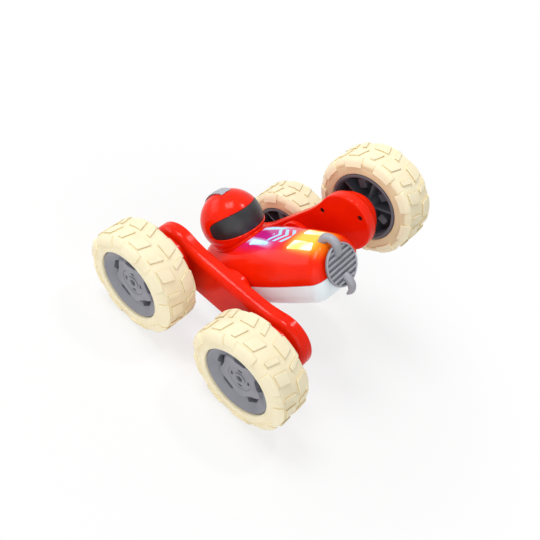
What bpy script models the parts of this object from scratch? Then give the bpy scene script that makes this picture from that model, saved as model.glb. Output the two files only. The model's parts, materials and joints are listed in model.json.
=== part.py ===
"""Stunt car: a body with a driver's helmet between two swing arms, each with two geared wheels.

Body frame: X to the right, -Y forward, Z up from the split line of the shells.
Arm and wheel frames: Z points outward from the car, Y runs along the arm, front at -Y.
"""
import math

import bmesh
import bpy
from mathutils import Matrix, Vector

MM = 0.001

# Fits
GAP = 0.3 * MM              # between pieces that touch
WALL = 1.6 * MM             # moulded shells
SINK = 1.0 * MM             # how far a joined rib runs into what carries it
WELD = 0.00001              # points closer than this are one
SHARP_EDGE = math.radians(35.0)

# Stance: the left arm lies level, the body and the right arm are turned nose up against it
WHEELBASE = 81.2 * MM
TRACK = 123.0 * MM
BODY_PITCH = math.radians(42.0)
ARM_TWIST = math.radians(56.2)

# Tyre
WHEEL_RADIUS = 32.5 * MM
TYRE_WIDTH = 24.6 * MM
TREAD_WIDTH = 22.4 * MM     # across the shoulders
TREAD_FACE = 15.2 * MM      # across the part that rolls on the ground
TREAD_DEPTH = 1.7 * MM
SHOULDER_DROP = 1.4 * MM    # from the rolling face to the shoulder
SIDEWALL_RADIUS = 26.6 * MM  # where the sidewall is widest
BEAD_DROP = 1.2 * MM        # from the widest place in to the rim
TREAD_PITCHES = 9
TREAD_GROOVE = 1.6 * MM
GROOVE_LEAD = 6.0 * MM      # round the tyre, from the middle to the shoulder
WHEEL_STEPS = 18

# Rim and cap
RIM_RADIUS = 21.2 * MM
RIM_LIP = 2.3 * MM
RIM_INNER_EDGE = 12.0 * MM  # inward from the tyre's middle
CAP_OUTER_EDGE = 10.9 * MM  # outward from the tyre's middle
CAP_FLANGE = 2.1 * MM
CAP_SKIN = 1.8 * MM
WEB_THICKNESS = 2.2 * MM
HUB_RADIUS = 5.2 * MM
HUB_RECESS = 1.0 * MM       # in from the rim's inner edge
SPOKES = 5
RIB_THICKNESS = 1.6 * MM
RIB_RECESS = 4.0 * MM
STAR_POINT = 14.6 * MM
STAR_NOTCH = 10.0 * MM
STAR_TIP = 2.6 * MM         # half width of a point's blunt end
PLATEAU_HEIGHT = 8.0 * MM
DISH_RADIUS = 16.2 * MM
DISH_HEIGHT = 5.4 * MM
VENT_RADIUS = 2.2 * MM
VENT_CIRCLE = 13.4 * MM
VENT_STEPS = 6

# Drive train
AXLE_RADIUS = 1.5 * MM
AXLE_RECESS = 2.0 * MM      # below the top of the cap
SHAFT_RADIUS = 1.0 * MM
BUSH_RADIUS = 4.0 * MM
PINION_TEETH = 8
IDLER_TEETH = 12
AXLE_TEETH = 16
ADDENDUM = 0.72             # in modules
DEDENDUM = 1.25
TIP_SHARE = 0.06            # half width of a tooth's tip, in tooth pitches
GEAR_WIDTH = 4.0 * MM
BORE_STEPS = 8
SCREW_STEPS = 6

# Swing arms
ARM_THICKNESS = 9.7 * MM
ARM_END_RADIUS = 17.8 * MM
ARM_WAIST = 14.5 * MM       # half height
ARM_NECK = 60.0 * MM        # hollow radius between waist and end
NECK_STEPS = 2
END_STEPS = 4
ARM_EDGE = 2.6 * MM         # rounding of the edges
ARM_EDGE_BULGE = 0.8 * MM   # from the corner to the middle of that rounding
BOSS_STEP_RADIUS = 14.2 * MM
BOSS_RADIUS = 11.6 * MM
BOSS_STEP = 0.51            # height of the wide step, as a share of the boss
WHEEL_CLEARANCE = 2.5 * MM  # from the boss to the rim's inner edge
BOSS_STEPS = 16
SCREW_HOLE = 1.4 * MM
SCREW_PLACES = ((13.6 * MM, -0.4 * MM), (-10.2 * MM, 11.4 * MM))

# Pivots
SLEEVE_RADIUS = 7.0 * MM
SLEEVE_BORE = 3.0 * MM
SLEEVE_FLANGE = 1.6 * MM    # how far the inner flange stands out
SLEEVE_INNER_END = 19.4 * MM
SLEEVE_STEPS = 12
COLLAR_RADIUS = 12.6 * MM
PIVOT_SHARE = 0.386         # of the room beside an arm that lies between it and the body
BODY_HALF_WIDTH = 25.9 * MM

# Body shells
NOSE_REACH = 57.2 * MM
TAIL_REACH = 44.0 * MM
NOSE_NARROWING = 7.9 * MM   # on each side, from the pivots to the end of the nose
TAIL_NARROWING = 3.9 * MM
NOSE_CORNER = (13.0 * MM, 10.5 * MM)
TAIL_CORNER = (15.0 * MM, 13.0 * MM)
BODY_HEIGHT = 20.0 * MM
NOSE_FALL = 4.3 * MM        # of the deck, from the pivots to the end of the nose
TAIL_FALL = 3.9 * MM
BODY_DEPTH = 15.0 * MM
DECK_END_ROUND = 8.0 * MM
BELLY_END_ROUND = 10.0 * MM
UPPER_SECTION = ((1.0, 0.0), (0.95, 0.34), (0.78, 0.66), (0.53, 0.87), (0.26, 0.97), (0.0, 1.0))
LOWER_SECTION = ((1.0, 0.0), (0.97, 0.45), (0.87, 0.82), (0.64, 1.0), (0.0, 1.0))
END_BOW = 0.6 * MM          # crown of the nose and tail edges
CORNER_STEPS = 3
SIDE_STEPS = 5

# Helmet, in the body frame
HELMET_RADIUS = 19.0 * MM
HELMET_BACK = 16.7 * MM
HELMET_HEIGHT = 29.0 * MM
HELMET_WALL = 2.4 * MM
HELMET_STEPS = 20
VISOR_HALF_SPAN = math.radians(80.0)
VISOR_TOP = math.radians(26.0)
VISOR_BOTTOM = math.radians(-22.0)
VISOR_TILT = math.radians(4.0)
VISOR_THICKNESS = 1.2 * MM
VISOR_END = 0.35            # height at its two ends, as a share of the middle
VISOR_STEPS = (8, 2)
CREST_HALF_WIDTH = math.radians(11.0)
CREST_FRONT = math.radians(80.0)
CREST_BACK = math.radians(168.0)
CREST_THICKNESS = 1.1 * MM
CREST_STEPS = (2, 6)

# Nose grille and horns
GRILLE_RADIUS = 12.9 * MM
GRILLE_LIFT = 1.5 * MM
GRILLE_THICKNESS = 3.0 * MM
GRILLE_LIP = 1.5 * MM
GRILLE_EDGE = 0.5 * MM      # rounding of the lip
GRILLE_RECESS = 1.3 * MM
GRILLE_RIBS = 6
GRILLE_STEPS = 16
GRILLE_RIB_WIDTH = 2.0 * MM
HORN_RADIUS = 2.65 * MM
HORN_STEPS = 3
HORN_RINGS = 2
HORN_SETBACK = 6.2 * MM     # where a horn leaves the shell, behind the end of the nose
HORN_CREST = 2.6 * MM       # how far it arches above the shell
HORN_REACH = 1.2 * MM       # how far it arches in front of the grille
HORN_BROW = 5.0 * MM        # from where it enters the grille to its front
HORN_DROP = 7.6 * MM        # where it enters the grille, from the grille's middle

# Body contents
MOTOR_RADIUS = 8.0 * MM
MOTOR_NECK = 4.0 * MM
MOTOR_STEPS = 12
MOTOR_INNER_END = 1.0 * MM
MOTOR_LENGTH = 16.5 * MM
SADDLE_TOP = 1.2 * MM       # below the split line
SADDLE_INNER = 5.0 * MM
SADDLE_WIDTH = 3.0 * MM
SADDLE_HALF_LENGTH = 9.5 * MM
BATTERY_HALF_WIDTH = 11.5 * MM
BATTERY_START = 11.0 * MM
BATTERY_NOSE_ROOM = 16.2 * MM  # from the battery to the end of the nose
BATTERY_HEIGHT = 10.0 * MM
BOARD_THICKNESS = 1.6 * MM
LAMP_RADIUS = 2.4 * MM
LAMP_HEIGHT = 7.5 * MM
LAMP_TIP = 0.6 * MM         # flat on top of the round end
COVER_HALF_WIDTH = 10.5 * MM
COVER_MARGIN = 2.5 * MM     # from the ends of the battery
SWITCH_BACK = 26.0 * MM
SWITCH_TRAVEL = 4.0 * MM
SWITCH_NUB = 3.0 * MM
SWITCH_PLATE = 10.0 * MM

# Light windows of the right side: corners beside the middle and forward of the pivots
FRONT_WINDOW_BACK = NOSE_REACH - 24.2 * MM
FRONT_WINDOW_FRONT = NOSE_REACH - 12.2 * MM
FRONT_WINDOW = ((3.5 * MM, FRONT_WINDOW_BACK), (11.0 * MM, FRONT_WINDOW_BACK),
                (12.0 * MM, FRONT_WINDOW_FRONT), (5.0 * MM, FRONT_WINDOW_FRONT))
REAR_WINDOW = ((8.0 * MM, 8.0 * MM), (13.5 * MM, 8.0 * MM),
               (12.5 * MM, 19.0 * MM), (9.0 * MM, 19.0 * MM))
WINDOW_TOP = 40.0 * MM      # cutting prisms reach above the deck

# Worked out from the sizes above
AXLE_OFFSET = WHEELBASE / 2
MODULE = WHEELBASE / (PINION_TEETH + 2 * IDLER_TEETH + AXLE_TEETH)
IDLER_OFFSET = MODULE * (PINION_TEETH + IDLER_TEETH) / 2
ARM_DROP = AXLE_OFFSET * math.sin(ARM_TWIST)
LEAN = math.atan(ARM_DROP / TRACK)
STANCE_SHIFT = -math.sin(LEAN) * ARM_DROP / 2
STANCE_HEIGHT = (math.sin(LEAN) * (TRACK + TREAD_FACE) / 2) + math.cos(LEAN) * WHEEL_RADIUS
BOSS_FACE = TRACK / 2 - RIM_INNER_EDGE - WHEEL_CLEARANCE
SIDE_ROOM = BOSS_FACE - BODY_HALF_WIDTH - ARM_THICKNESS
ARM_INNER_FACE = BODY_HALF_WIDTH + PIVOT_SHARE * SIDE_ROOM
ARM_SPLIT = ARM_INNER_FACE + ARM_THICKNESS / 2
ARM_OUTER_FACE = ARM_INNER_FACE + ARM_THICKNESS
BOSS_STEP_FACE = ARM_OUTER_FACE + BOSS_STEP * (BOSS_FACE - ARM_OUTER_FACE)
GEAR_FLOOR = ARM_INNER_FACE + WALL
GEAR_LOW = GEAR_FLOOR + 2 * GAP
GEAR_HIGH = GEAR_LOW + GEAR_WIDTH
GEAR_CEILING = ARM_OUTER_FACE - WALL
BATTERY_LENGTH = NOSE_REACH - BATTERY_NOSE_ROOM - BATTERY_START
BATTERY_LOW = -BODY_DEPTH + WALL + GAP
BOARD_LOW = BATTERY_LOW + BATTERY_HEIGHT + GAP


# Scene helpers

def clear_scene():
    for item in list(bpy.data.objects):
        bpy.data.objects.remove(item, do_unlink=True)


def new_collection(name):
    group = bpy.data.collections.new(name)
    bpy.context.scene.collection.children.link(group)
    return group


def plastic(name, colour, roughness, metallic=0.0):
    material = bpy.data.materials.new(name)
    material.use_nodes = True
    shader = material.node_tree.nodes["Principled BSDF"]
    shader.inputs["Base Color"].default_value = (*colour, 1.0)
    shader.inputs["Roughness"].default_value = roughness
    shader.inputs["Metallic"].default_value = metallic
    material.diffuse_color = (*colour, 1.0)
    return material


def add_frame(name, parent, matrix):
    frame = bpy.data.objects.new(name, None)
    PARTS.objects.link(frame)
    frame.parent = parent
    frame.matrix_local = matrix
    return frame


def add_part(name, data, frame, material):
    part = bpy.data.objects.new(name, data)
    PARTS.objects.link(part)
    part.parent = frame
    data.materials.append(material)
    if isinstance(data, bpy.types.Mesh):
        data.shade_smooth()
        data.set_sharp_from_angle(angle=SHARP_EDGE)
    return part


def add_tool(name, data, frame):
    tool = bpy.data.objects.new(name, data)
    CUTTERS.objects.link(tool)
    tool.parent = frame
    tool.hide_render = True
    tool.display_type = "WIRE"
    return tool


def combine(part, data, operation):
    """Cut, join or intersect a part with a mesh that lies in the same frame."""
    tool = data
    if isinstance(data, bpy.types.Mesh):
        tool = add_tool(f"{part.name}_tool_{len(part.modifiers)}", data, part.parent)
    step = part.modifiers.new(operation.lower(), "BOOLEAN")
    step.operation = operation
    step.solver = "EXACT"
    step.object = tool


def cut(part, data):
    combine(part, data, "DIFFERENCE")


def join(part, data):
    combine(part, data, "UNION")


# Mesh helpers

def to_mesh(name, shape):
    data = bpy.data.meshes.new(name)
    shape.to_mesh(data)
    shape.free()
    return data


def finish_mesh(name, shape):
    """Mesh of a closed shape with its faces turned outward."""
    bmesh.ops.recalc_face_normals(shape, faces=shape.faces)
    return to_mesh(name, shape)


def loft(rings, name="loft"):
    """Closed body through rings of equally many points, capped at both ends."""
    shape = bmesh.new()
    rows = [[shape.verts.new(point) for point in ring] for ring in rings]
    for lower, upper in zip(rows, rows[1:]):
        for here in range(len(lower)):
            after = (here + 1) % len(lower)
            shape.faces.new((lower[here], lower[after], upper[after], upper[here]))
    shape.faces.new(rows[0])
    shape.faces.new(rows[-1])
    return finish_mesh(name, shape)


def circle(radius, height, steps, centre=(0.0, 0.0)):
    angles = [2 * math.pi * step / steps for step in range(steps)]
    return [(centre[0] + radius * math.cos(a), centre[1] + radius * math.sin(a), height) for a in angles]


def spindle(profile, steps, centre=(0.0, 0.0)):
    """Solid round body from (radius, height) pairs, bottom to top."""
    return loft([circle(radius, height, steps, centre) for radius, height in profile], "spindle")


def box(low, high):
    shape = bmesh.new()
    bmesh.ops.create_cube(shape, size=1.0)
    size = Vector(high) - Vector(low)
    middle = (Vector(high) + Vector(low)) / 2
    for vert in shape.verts:
        vert.co = Vector([a * b for a, b in zip(vert.co, size)]) + middle
    return finish_mesh("box", shape)


def merge_meshes(meshes, name="group"):
    shape = bmesh.new()
    for data in meshes:
        shape.from_mesh(data)
        bpy.data.meshes.remove(data)
    return finish_mesh(name, shape)


def turned(profile, steps):
    """Mesh of a ring: a closed (radius, height) outline, down its outer side, spun about Z."""
    shape = bmesh.new()
    corners = [shape.verts.new((radius, 0.0, height)) for radius, height in profile]
    for here, after in zip(corners, corners[1:] + corners[:1]):
        shape.edges.new((here, after))
    data = bpy.data.meshes.new("turned")
    shape.to_mesh(data)
    shape.free()
    guide = bpy.data.objects.new("profile", data)
    CUTTERS.objects.link(guide)
    spin = guide.modifiers.new("spin", "SCREW")
    spin.axis = "Z"
    spin.steps = steps
    spin.render_steps = steps
    spin.use_merge_vertices = True
    spin.merge_threshold = WELD
    return mesh_of(guide)


def prism(outlines, low, high):
    """Mesh of a flat outline between two heights; inner outlines become holes."""
    curve = bpy.data.curves.new("outline", "CURVE")
    curve.dimensions = "2D"
    curve.fill_mode = "BOTH"
    curve.extrude = (high - low) / 2
    for points in outlines:
        spline = curve.splines.new("POLY")
        spline.points.add(len(points) - 1)
        for slot, (x, y) in zip(spline.points, points):
            slot.co = (x, y, 0.0, 1.0)
        spline.use_cyclic_u = True
    guide = bpy.data.objects.new("outline", curve)
    CUTTERS.objects.link(guide)
    guide.location.z = (low + high) / 2
    return mesh_of(guide)


def mesh_of(guide):
    """Evaluated mesh of a guide object, welded and in its parent's frame; the guide is removed."""
    graph = bpy.context.evaluated_depsgraph_get()
    data = bpy.data.meshes.new_from_object(guide.evaluated_get(graph))
    data.transform(guide.matrix_local)
    bpy.data.objects.remove(guide, do_unlink=True)
    shape = bmesh.new()
    shape.from_mesh(data)
    bpy.data.meshes.remove(data)
    bmesh.ops.remove_doubles(shape, verts=shape.verts, dist=WELD)
    return finish_mesh("solid", shape)


# Body

def side_width(forward):
    if forward > 0:
        return BODY_HALF_WIDTH - NOSE_NARROWING * (forward / NOSE_REACH) ** 2
    return BODY_HALF_WIDTH - TAIL_NARROWING * (forward / TAIL_REACH) ** 2


def deck_height(forward):
    if forward > 0:
        return BODY_HEIGHT - NOSE_FALL * (forward / NOSE_REACH) ** 2
    return BODY_HEIGHT - TAIL_FALL * (forward / TAIL_REACH) ** 2


def belly_depth(forward):
    return -BODY_DEPTH


def split_outline():
    """Right half of the split line from nose to tail, as (lateral, forward) pairs."""
    nose_wide, nose_long = NOSE_CORNER
    tail_wide, tail_long = TAIL_CORNER
    nose_start = NOSE_REACH - END_BOW - nose_long
    tail_start = TAIL_REACH - END_BOW - tail_long
    turns = [math.pi / 2 * step / CORNER_STEPS for step in range(CORNER_STEPS + 1)]
    nose_inner = side_width(nose_start) - nose_wide
    tail_inner = side_width(-tail_start) - tail_wide
    points = [(0.0, NOSE_REACH)]
    for turn in turns:
        points.append((nose_inner + nose_wide * math.sin(turn), nose_start + nose_long * math.cos(turn)))
    for step in range(1, SIDE_STEPS):
        forward = nose_start - (nose_start + tail_start) * step / SIDE_STEPS
        points.append((side_width(forward), forward))
    turns.reverse()
    for turn in turns:
        points.append((tail_inner + tail_wide * math.sin(turn), -tail_start - tail_long * math.cos(turn)))
    points.append((0.0, -TAIL_REACH))
    return points


def dome_rows(section, height_at, end_round, base, grow):
    """Rows of points over the split outline; the last row lies on the middle plane."""
    rows = []
    outline = split_outline()
    for lateral, rise in section:
        drawn_in = end_round * (1.0 - math.sqrt(1.0 - rise * rise))
        row = []
        for x, forward in outline:
            reach = NOSE_REACH if forward > 0 else TAIL_REACH
            stretch = 1.0 + (grow - drawn_in) / reach
            place = forward * stretch
            wide = x * lateral + (grow * x / BODY_HALF_WIDTH)
            height = height_at(place)
            lift = base + (height + math.copysign(grow, height) - base) * rise
            row.append((wide, -place, lift))
        rows.append(row)
    return rows


def dome(section, height_at, end_round, base, grow=0.0, closed=False):
    """Half of the body over its split line, open below unless closed."""
    shape = bmesh.new()
    rows = dome_rows(section, height_at, end_round, base, grow)
    loops = []
    for row in rows[:-1]:
        right = [shape.verts.new(point) for point in row]
        left = [shape.verts.new((-x, y, z)) for x, y, z in row[1:-1]]
        loops.append((right, [right[0]] + left + [right[-1]]))
    spine = [shape.verts.new(point) for point in rows[-1]]
    loops.append((spine, spine))
    for (right_low, left_low), (right_high, left_high) in zip(loops, loops[1:]):
        for here in range(len(spine) - 1):
            after = here + 1
            shape.faces.new((right_low[here], right_low[after], right_high[after], right_high[here]))
            shape.faces.new((left_low[here], left_high[here], left_high[after], left_low[after]))
    if closed:
        right, left = loops[0]
        shape.faces.new(left + right[-2:0:-1])
    if height_at(0.0) < 0.0:
        bmesh.ops.reverse_faces(shape, faces=shape.faces)
    return to_mesh("dome", shape)


def upper_dome(grow=0.0, closed=False):
    return dome(UPPER_SECTION, deck_height, DECK_END_ROUND, GAP / 2, grow, closed)


def lower_dome():
    return dome(LOWER_SECTION, belly_depth, BELLY_END_ROUND, -GAP / 2)


def thicken(part, thickness):
    shell = part.modifiers.new("wall", "SOLIDIFY")
    shell.thickness = thickness
    shell.offset = -1.0
    shell.solidify_mode = "NON_MANIFOLD"
    shell.nonmanifold_thickness_mode = "EVEN"
    shell.nonmanifold_boundary_mode = "FLAT"


def across(radius, reach, forward=0.0, height=0.0, steps=SLEEVE_STEPS):
    """Round bar along X through the body."""
    data = spindle(((radius, -reach), (radius, reach)), steps)
    data.transform(Matrix.Translation((0.0, -forward, height)) @ Matrix.Rotation(math.pi / 2, 4, "Y"))
    return data


def window_corners(corners, side, inset):
    """Corners of one light window, drawn in by an inset, in X and Y."""
    middle_x = sum(x for x, _ in corners) / len(corners)
    middle_y = sum(y for _, y in corners) / len(corners)
    points = []
    for x, forward in corners:
        inward_x = math.copysign(inset, middle_x - x)
        inward_y = math.copysign(inset, middle_y - forward)
        points.append((side * (x + inward_x), -(forward + inward_y)))
    return points


def add_body_shells(frame):
    upper = add_part("body_upper_shell", upper_dome(), frame, RED)
    thicken(upper, WALL)
    lower = add_part("body_lower_shell", lower_dome(), frame, WHITE)
    thicken(lower, WALL)
    upper_blank = add_tool("upper_shell_blank", upper_dome(), frame)
    thicken(upper_blank, WALL)
    lower_blank = add_tool("lower_shell_blank", lower_dome(), frame)
    thicken(lower_blank, WALL)

    for side in (-1, 1):
        rib_x = sorted((side * SADDLE_INNER, side * (SADDLE_INNER + SADDLE_WIDTH)))
        join(lower, box((rib_x[0], -SADDLE_HALF_LENGTH, -BODY_DEPTH + WALL / 2),
                        (rib_x[1], SADDLE_HALF_LENGTH, -SADDLE_TOP)))
    cut(lower, across(MOTOR_RADIUS + GAP, SADDLE_INNER + 2 * SADDLE_WIDTH))
    for shell in (upper, lower):
        cut(shell, across(SLEEVE_RADIUS + GAP, 2 * BODY_HALF_WIDTH))

    for place, corners in (("front", FRONT_WINDOW), ("rear", REAR_WINDOW)):
        glow = AMBER if place == "front" else BLUE
        for word, side in (("left", -1), ("right", 1)):
            cut(upper, prism([window_corners(corners, side, 0.0)], WALL, WINDOW_TOP))
            pane = prism([window_corners(corners, side, GAP)], WALL, WINDOW_TOP)
            window = add_part(f"light_window_{place}_{word}", pane, frame, glow)
            combine(window, upper_blank, "INTERSECT")

    front = -(BATTERY_START + BATTERY_LENGTH - COVER_MARGIN)
    back = -(BATTERY_START + COVER_MARGIN)
    hatch_low = (-COVER_HALF_WIDTH, front, -2 * BODY_DEPTH)
    hatch_high = (COVER_HALF_WIDTH, back, -WALL)
    cut(lower, box(hatch_low, hatch_high))
    pane = box([v + GAP for v in hatch_low], [v - GAP for v in hatch_high])
    cover = add_part("battery_cover", pane, frame, WHITE)
    combine(cover, lower_blank, "INTERSECT")

    slot_half = SWITCH_NUB / 2 + GAP
    cut(lower, box((-slot_half, SWITCH_BACK - SWITCH_NUB / 2 - SWITCH_TRAVEL - GAP, -2 * BODY_DEPTH),
                   (slot_half, SWITCH_BACK + SWITCH_NUB / 2 + GAP, -BODY_DEPTH / 2)))
    return upper, lower


def add_power_switch(frame):
    floor = -BODY_DEPTH + WALL + GAP
    plate = box((-SWITCH_NUB, SWITCH_BACK - SWITCH_PLATE / 2, floor),
                (SWITCH_NUB, SWITCH_BACK + SWITCH_PLATE / 2, floor + WALL))
    switch = add_part("power_switch", plate, frame, DARK)
    join(switch, box((-SWITCH_NUB / 2, SWITCH_BACK - SWITCH_NUB / 2, -BODY_DEPTH + GAP),
                     (SWITCH_NUB / 2, SWITCH_BACK + SWITCH_NUB / 2, floor + WALL / 2)))


def lamp_profile(low):
    """Round bar with a domed end, as (radius, height) pairs."""
    top = low + LAMP_HEIGHT
    slope = LAMP_RADIUS * math.sqrt(0.5)
    return ((LAMP_RADIUS, low), (LAMP_RADIUS, top - LAMP_RADIUS),
            (slope, top - LAMP_RADIUS + slope), (LAMP_TIP, top))


def add_body_contents(frame):
    front = -(BATTERY_START + BATTERY_LENGTH)
    back = -BATTERY_START
    battery_high = BATTERY_LOW + BATTERY_HEIGHT
    pack = box((-BATTERY_HALF_WIDTH, front, BATTERY_LOW), (BATTERY_HALF_WIDTH, back, battery_high))
    add_part("battery_pack", pack, frame, BATTERY_WRAP)
    board_high = BOARD_LOW + BOARD_THICKNESS
    board_wide = BATTERY_HALF_WIDTH + WALL
    board = box((-board_wide, front, BOARD_LOW), (board_wide, back, board_high))
    add_part("circuit_board", board, frame, BOARD)
    lamp_low = board_high + GAP
    lamp_places = {"front": FRONT_WINDOW, "rear": REAR_WINDOW}
    for place, corners in lamp_places.items():
        lamp_x = sum(x for x, _ in corners) / len(corners)
        lamp_y = -max(BATTERY_START + LAMP_RADIUS, sum(y for _, y in corners) / len(corners))
        for word, side in (("left", -1), ("right", 1)):
            body = spindle(lamp_profile(lamp_low), BORE_STEPS, (side * lamp_x, lamp_y))
            add_part(f"lamp_{place}_{word}", body, frame, LAMP)


def add_motor(frame, word):
    end = MOTOR_INNER_END + MOTOR_LENGTH
    body = spindle(((MOTOR_RADIUS, MOTOR_INNER_END), (MOTOR_RADIUS, end), (MOTOR_NECK, end),
                    (MOTOR_NECK, SLEEVE_INNER_END - GAP)), MOTOR_STEPS)
    add_part(f"drive_motor_{word}", body, frame, STEEL)


# Helmet

def on_helmet(radius, turn, rise):
    """Point on a sphere round the helmet's middle: turn from straight ahead, rise from level."""
    x = radius * math.cos(rise) * math.sin(turn)
    forward = radius * math.cos(rise) * math.cos(turn)
    return (x, HELMET_BACK - forward, HELMET_HEIGHT + radius * math.sin(rise))


def patch(point_at, columns, rows, inner, outer):
    """Curved plate between two radii; point_at gives a point from radius, column and row shares."""
    shape = bmesh.new()
    skins = []
    for radius in (inner, outer):
        skins.append([[shape.verts.new(point_at(radius, c / columns, r / rows))
                       for c in range(columns + 1)] for r in range(rows + 1)])
    for grid in skins:
        for r in range(rows):
            for c in range(columns):
                shape.faces.new((grid[r][c], grid[r][c + 1], grid[r + 1][c + 1], grid[r + 1][c]))
    rims = []
    for grid in skins:
        rim = grid[0] + [row[-1] for row in grid[1:]]
        rim += grid[-1][-2::-1] + [row[0] for row in grid[-2:0:-1]]
        rims.append(rim)
    for here in range(len(rims[0])):
        after = (here + 1) % len(rims[0])
        shape.faces.new((rims[0][here], rims[0][after], rims[1][after], rims[1][here]))
    return finish_mesh("patch", shape)


def visor_plate(inner, outer, spread):
    def point_at(radius, column, row):
        share = 2 * column - 1
        turn = share * (VISOR_HALF_SPAN + spread)
        fade = VISOR_END + (1.0 - VISOR_END) * math.sqrt(1.0 - abs(share) ** 3)
        low = VISOR_BOTTOM * fade - spread
        high = VISOR_TOP * fade + spread
        return on_helmet(radius, turn, low + (high - low) * row - VISOR_TILT)
    return patch(point_at, *VISOR_STEPS, inner, outer)


def crest_plate():
    def point_at(radius, column, row):
        along = CREST_FRONT + (CREST_BACK - CREST_FRONT) * row
        side = (2 * column - 1) * CREST_HALF_WIDTH
        x = radius * math.sin(side)
        forward = radius * math.cos(side) * math.cos(along)
        return (x, HELMET_BACK - forward, HELMET_HEIGHT + radius * math.cos(side) * math.sin(along))
    low = HELMET_RADIUS + GAP
    return patch(point_at, *CREST_STEPS, low, low + CREST_THICKNESS)


def ball(radius, steps):
    shape = bmesh.new()
    bmesh.ops.create_uvsphere(shape, u_segments=steps, v_segments=steps // 2 + 1, radius=radius)
    bmesh.ops.translate(shape, verts=shape.verts, vec=(0.0, HELMET_BACK, HELMET_HEIGHT))
    return finish_mesh("ball", shape)


def add_helmet(frame):
    helmet = add_part("helmet_shell", ball(HELMET_RADIUS, HELMET_STEPS), frame, RED)
    cut(helmet, upper_dome(GAP, closed=True))
    cut(helmet, ball(HELMET_RADIUS - HELMET_WALL, HELMET_STEPS // 2))
    visor_inner = HELMET_RADIUS - VISOR_THICKNESS
    spread = GAP / HELMET_RADIUS
    cut(helmet, visor_plate(visor_inner - GAP, HELMET_RADIUS + HELMET_WALL, spread))
    add_part("helmet_visor", visor_plate(visor_inner, HELMET_RADIUS, 0.0), frame, VISOR)
    add_part("helmet_crest", crest_plate(), frame, GREY)


# Nose

def nose_face():
    """How far forward the ribbed front of the grille stands."""
    return NOSE_REACH + GAP + GRILLE_THICKNESS


def add_grille(frame):
    lip = GRILLE_RADIUS - GRILLE_LIP
    back = NOSE_REACH + GAP
    front = nose_face()
    floor = front - GRILLE_RECESS
    turn = Matrix.Translation((0.0, 0.0, GRILLE_LIFT)) @ Matrix.Rotation(math.pi / 2, 4, "X")
    disc = spindle(((GRILLE_RADIUS, back), (GRILLE_RADIUS, front - GRILLE_EDGE),
                    (GRILLE_RADIUS - GRILLE_EDGE, front), (lip, front), (lip, floor)), GRILLE_STEPS)
    disc.transform(turn)
    grille = add_part("nose_grille", disc, frame, GREY)
    spacing = 2 * lip / (GRILLE_RIBS + 0.5)
    for number in range(GRILLE_RIBS):
        level = (number - (GRILLE_RIBS - 1) / 2) * spacing
        half = math.sqrt(lip * lip - level * level) + GRILLE_LIP / 2
        rib = box((-half, -front + GAP, GRILLE_LIFT + level - GRILLE_RIB_WIDTH / 2),
                  (half, -floor + GRILLE_LIP, GRILLE_LIFT + level + GRILLE_RIB_WIDTH / 2))
        join(grille, rib)
    return grille


def horn_curve(side, radius, sunk=0.0):
    """Tube of one horn: out of the shell, over its crest and back into the grille, sunk a little deeper."""
    back = NOSE_REACH - HORN_SETBACK
    shell = BODY_DEPTH if side < 0 else deck_height(back)
    entry = HORN_DROP + side * GRILLE_LIFT
    floor = nose_face() - GRILLE_RECESS
    route = ((back, shell - WALL / 2 - sunk), (back + HORN_RADIUS, shell + HORN_CREST),
             (nose_face() + HORN_REACH, entry + HORN_BROW), (floor - sunk, entry))
    curve = bpy.data.curves.new("horn", "CURVE")
    curve.dimensions = "3D"
    curve.bevel_depth = radius
    curve.bevel_resolution = HORN_RINGS
    curve.resolution_u = HORN_STEPS
    curve.use_fill_caps = True
    spline = curve.splines.new("BEZIER")
    spline.bezier_points.add(len(route) - 1)
    for knot, (forward, height) in zip(spline.bezier_points, route):
        knot.co = (0.0, -forward, side * height)
        knot.handle_left_type = "AUTO"
        knot.handle_right_type = "AUTO"
    return curve


def add_horn(frame, word, side, shell, grille):
    add_part(f"nose_horn_{word}", horn_curve(side, HORN_RADIUS), frame, GREY)
    for seat in (shell, grille):
        guide = bpy.data.objects.new("horn_seat", horn_curve(side, HORN_RADIUS + GAP, GAP))
        CUTTERS.objects.link(guide)
        cut(seat, mesh_of(guide))


# Swing arms

def dogbone(inset, height):
    """Ring of an arm's outline drawn in by an inset: round ends, hollow necks, straight waist."""
    end = ARM_END_RADIUS - inset
    waist = ARM_WAIST - inset
    neck = ARM_NECK + inset
    spread = math.acos((waist + neck) / (end + neck))
    neck_y = AXLE_OFFSET - (end + neck) * math.sin(spread)
    quarter = []
    for step in range(NECK_STEPS):
        angle = spread * step / NECK_STEPS
        quarter.append((waist + neck - neck * math.cos(angle), neck_y + neck * math.sin(angle)))
    for step in range(END_STEPS + 1):
        angle = -spread + (math.pi / 2 + spread) * step / END_STEPS
        quarter.append((end * math.cos(angle), AXLE_OFFSET + end * math.sin(angle)))
    ring = quarter + [(-x, y) for x, y in quarter[-2::-1]]
    ring += [(-x, -y) for x, y in quarter] + [(x, -y) for x, y in quarter[-2::-1]]
    return [(x, y, height) for x, y in ring]


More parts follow.
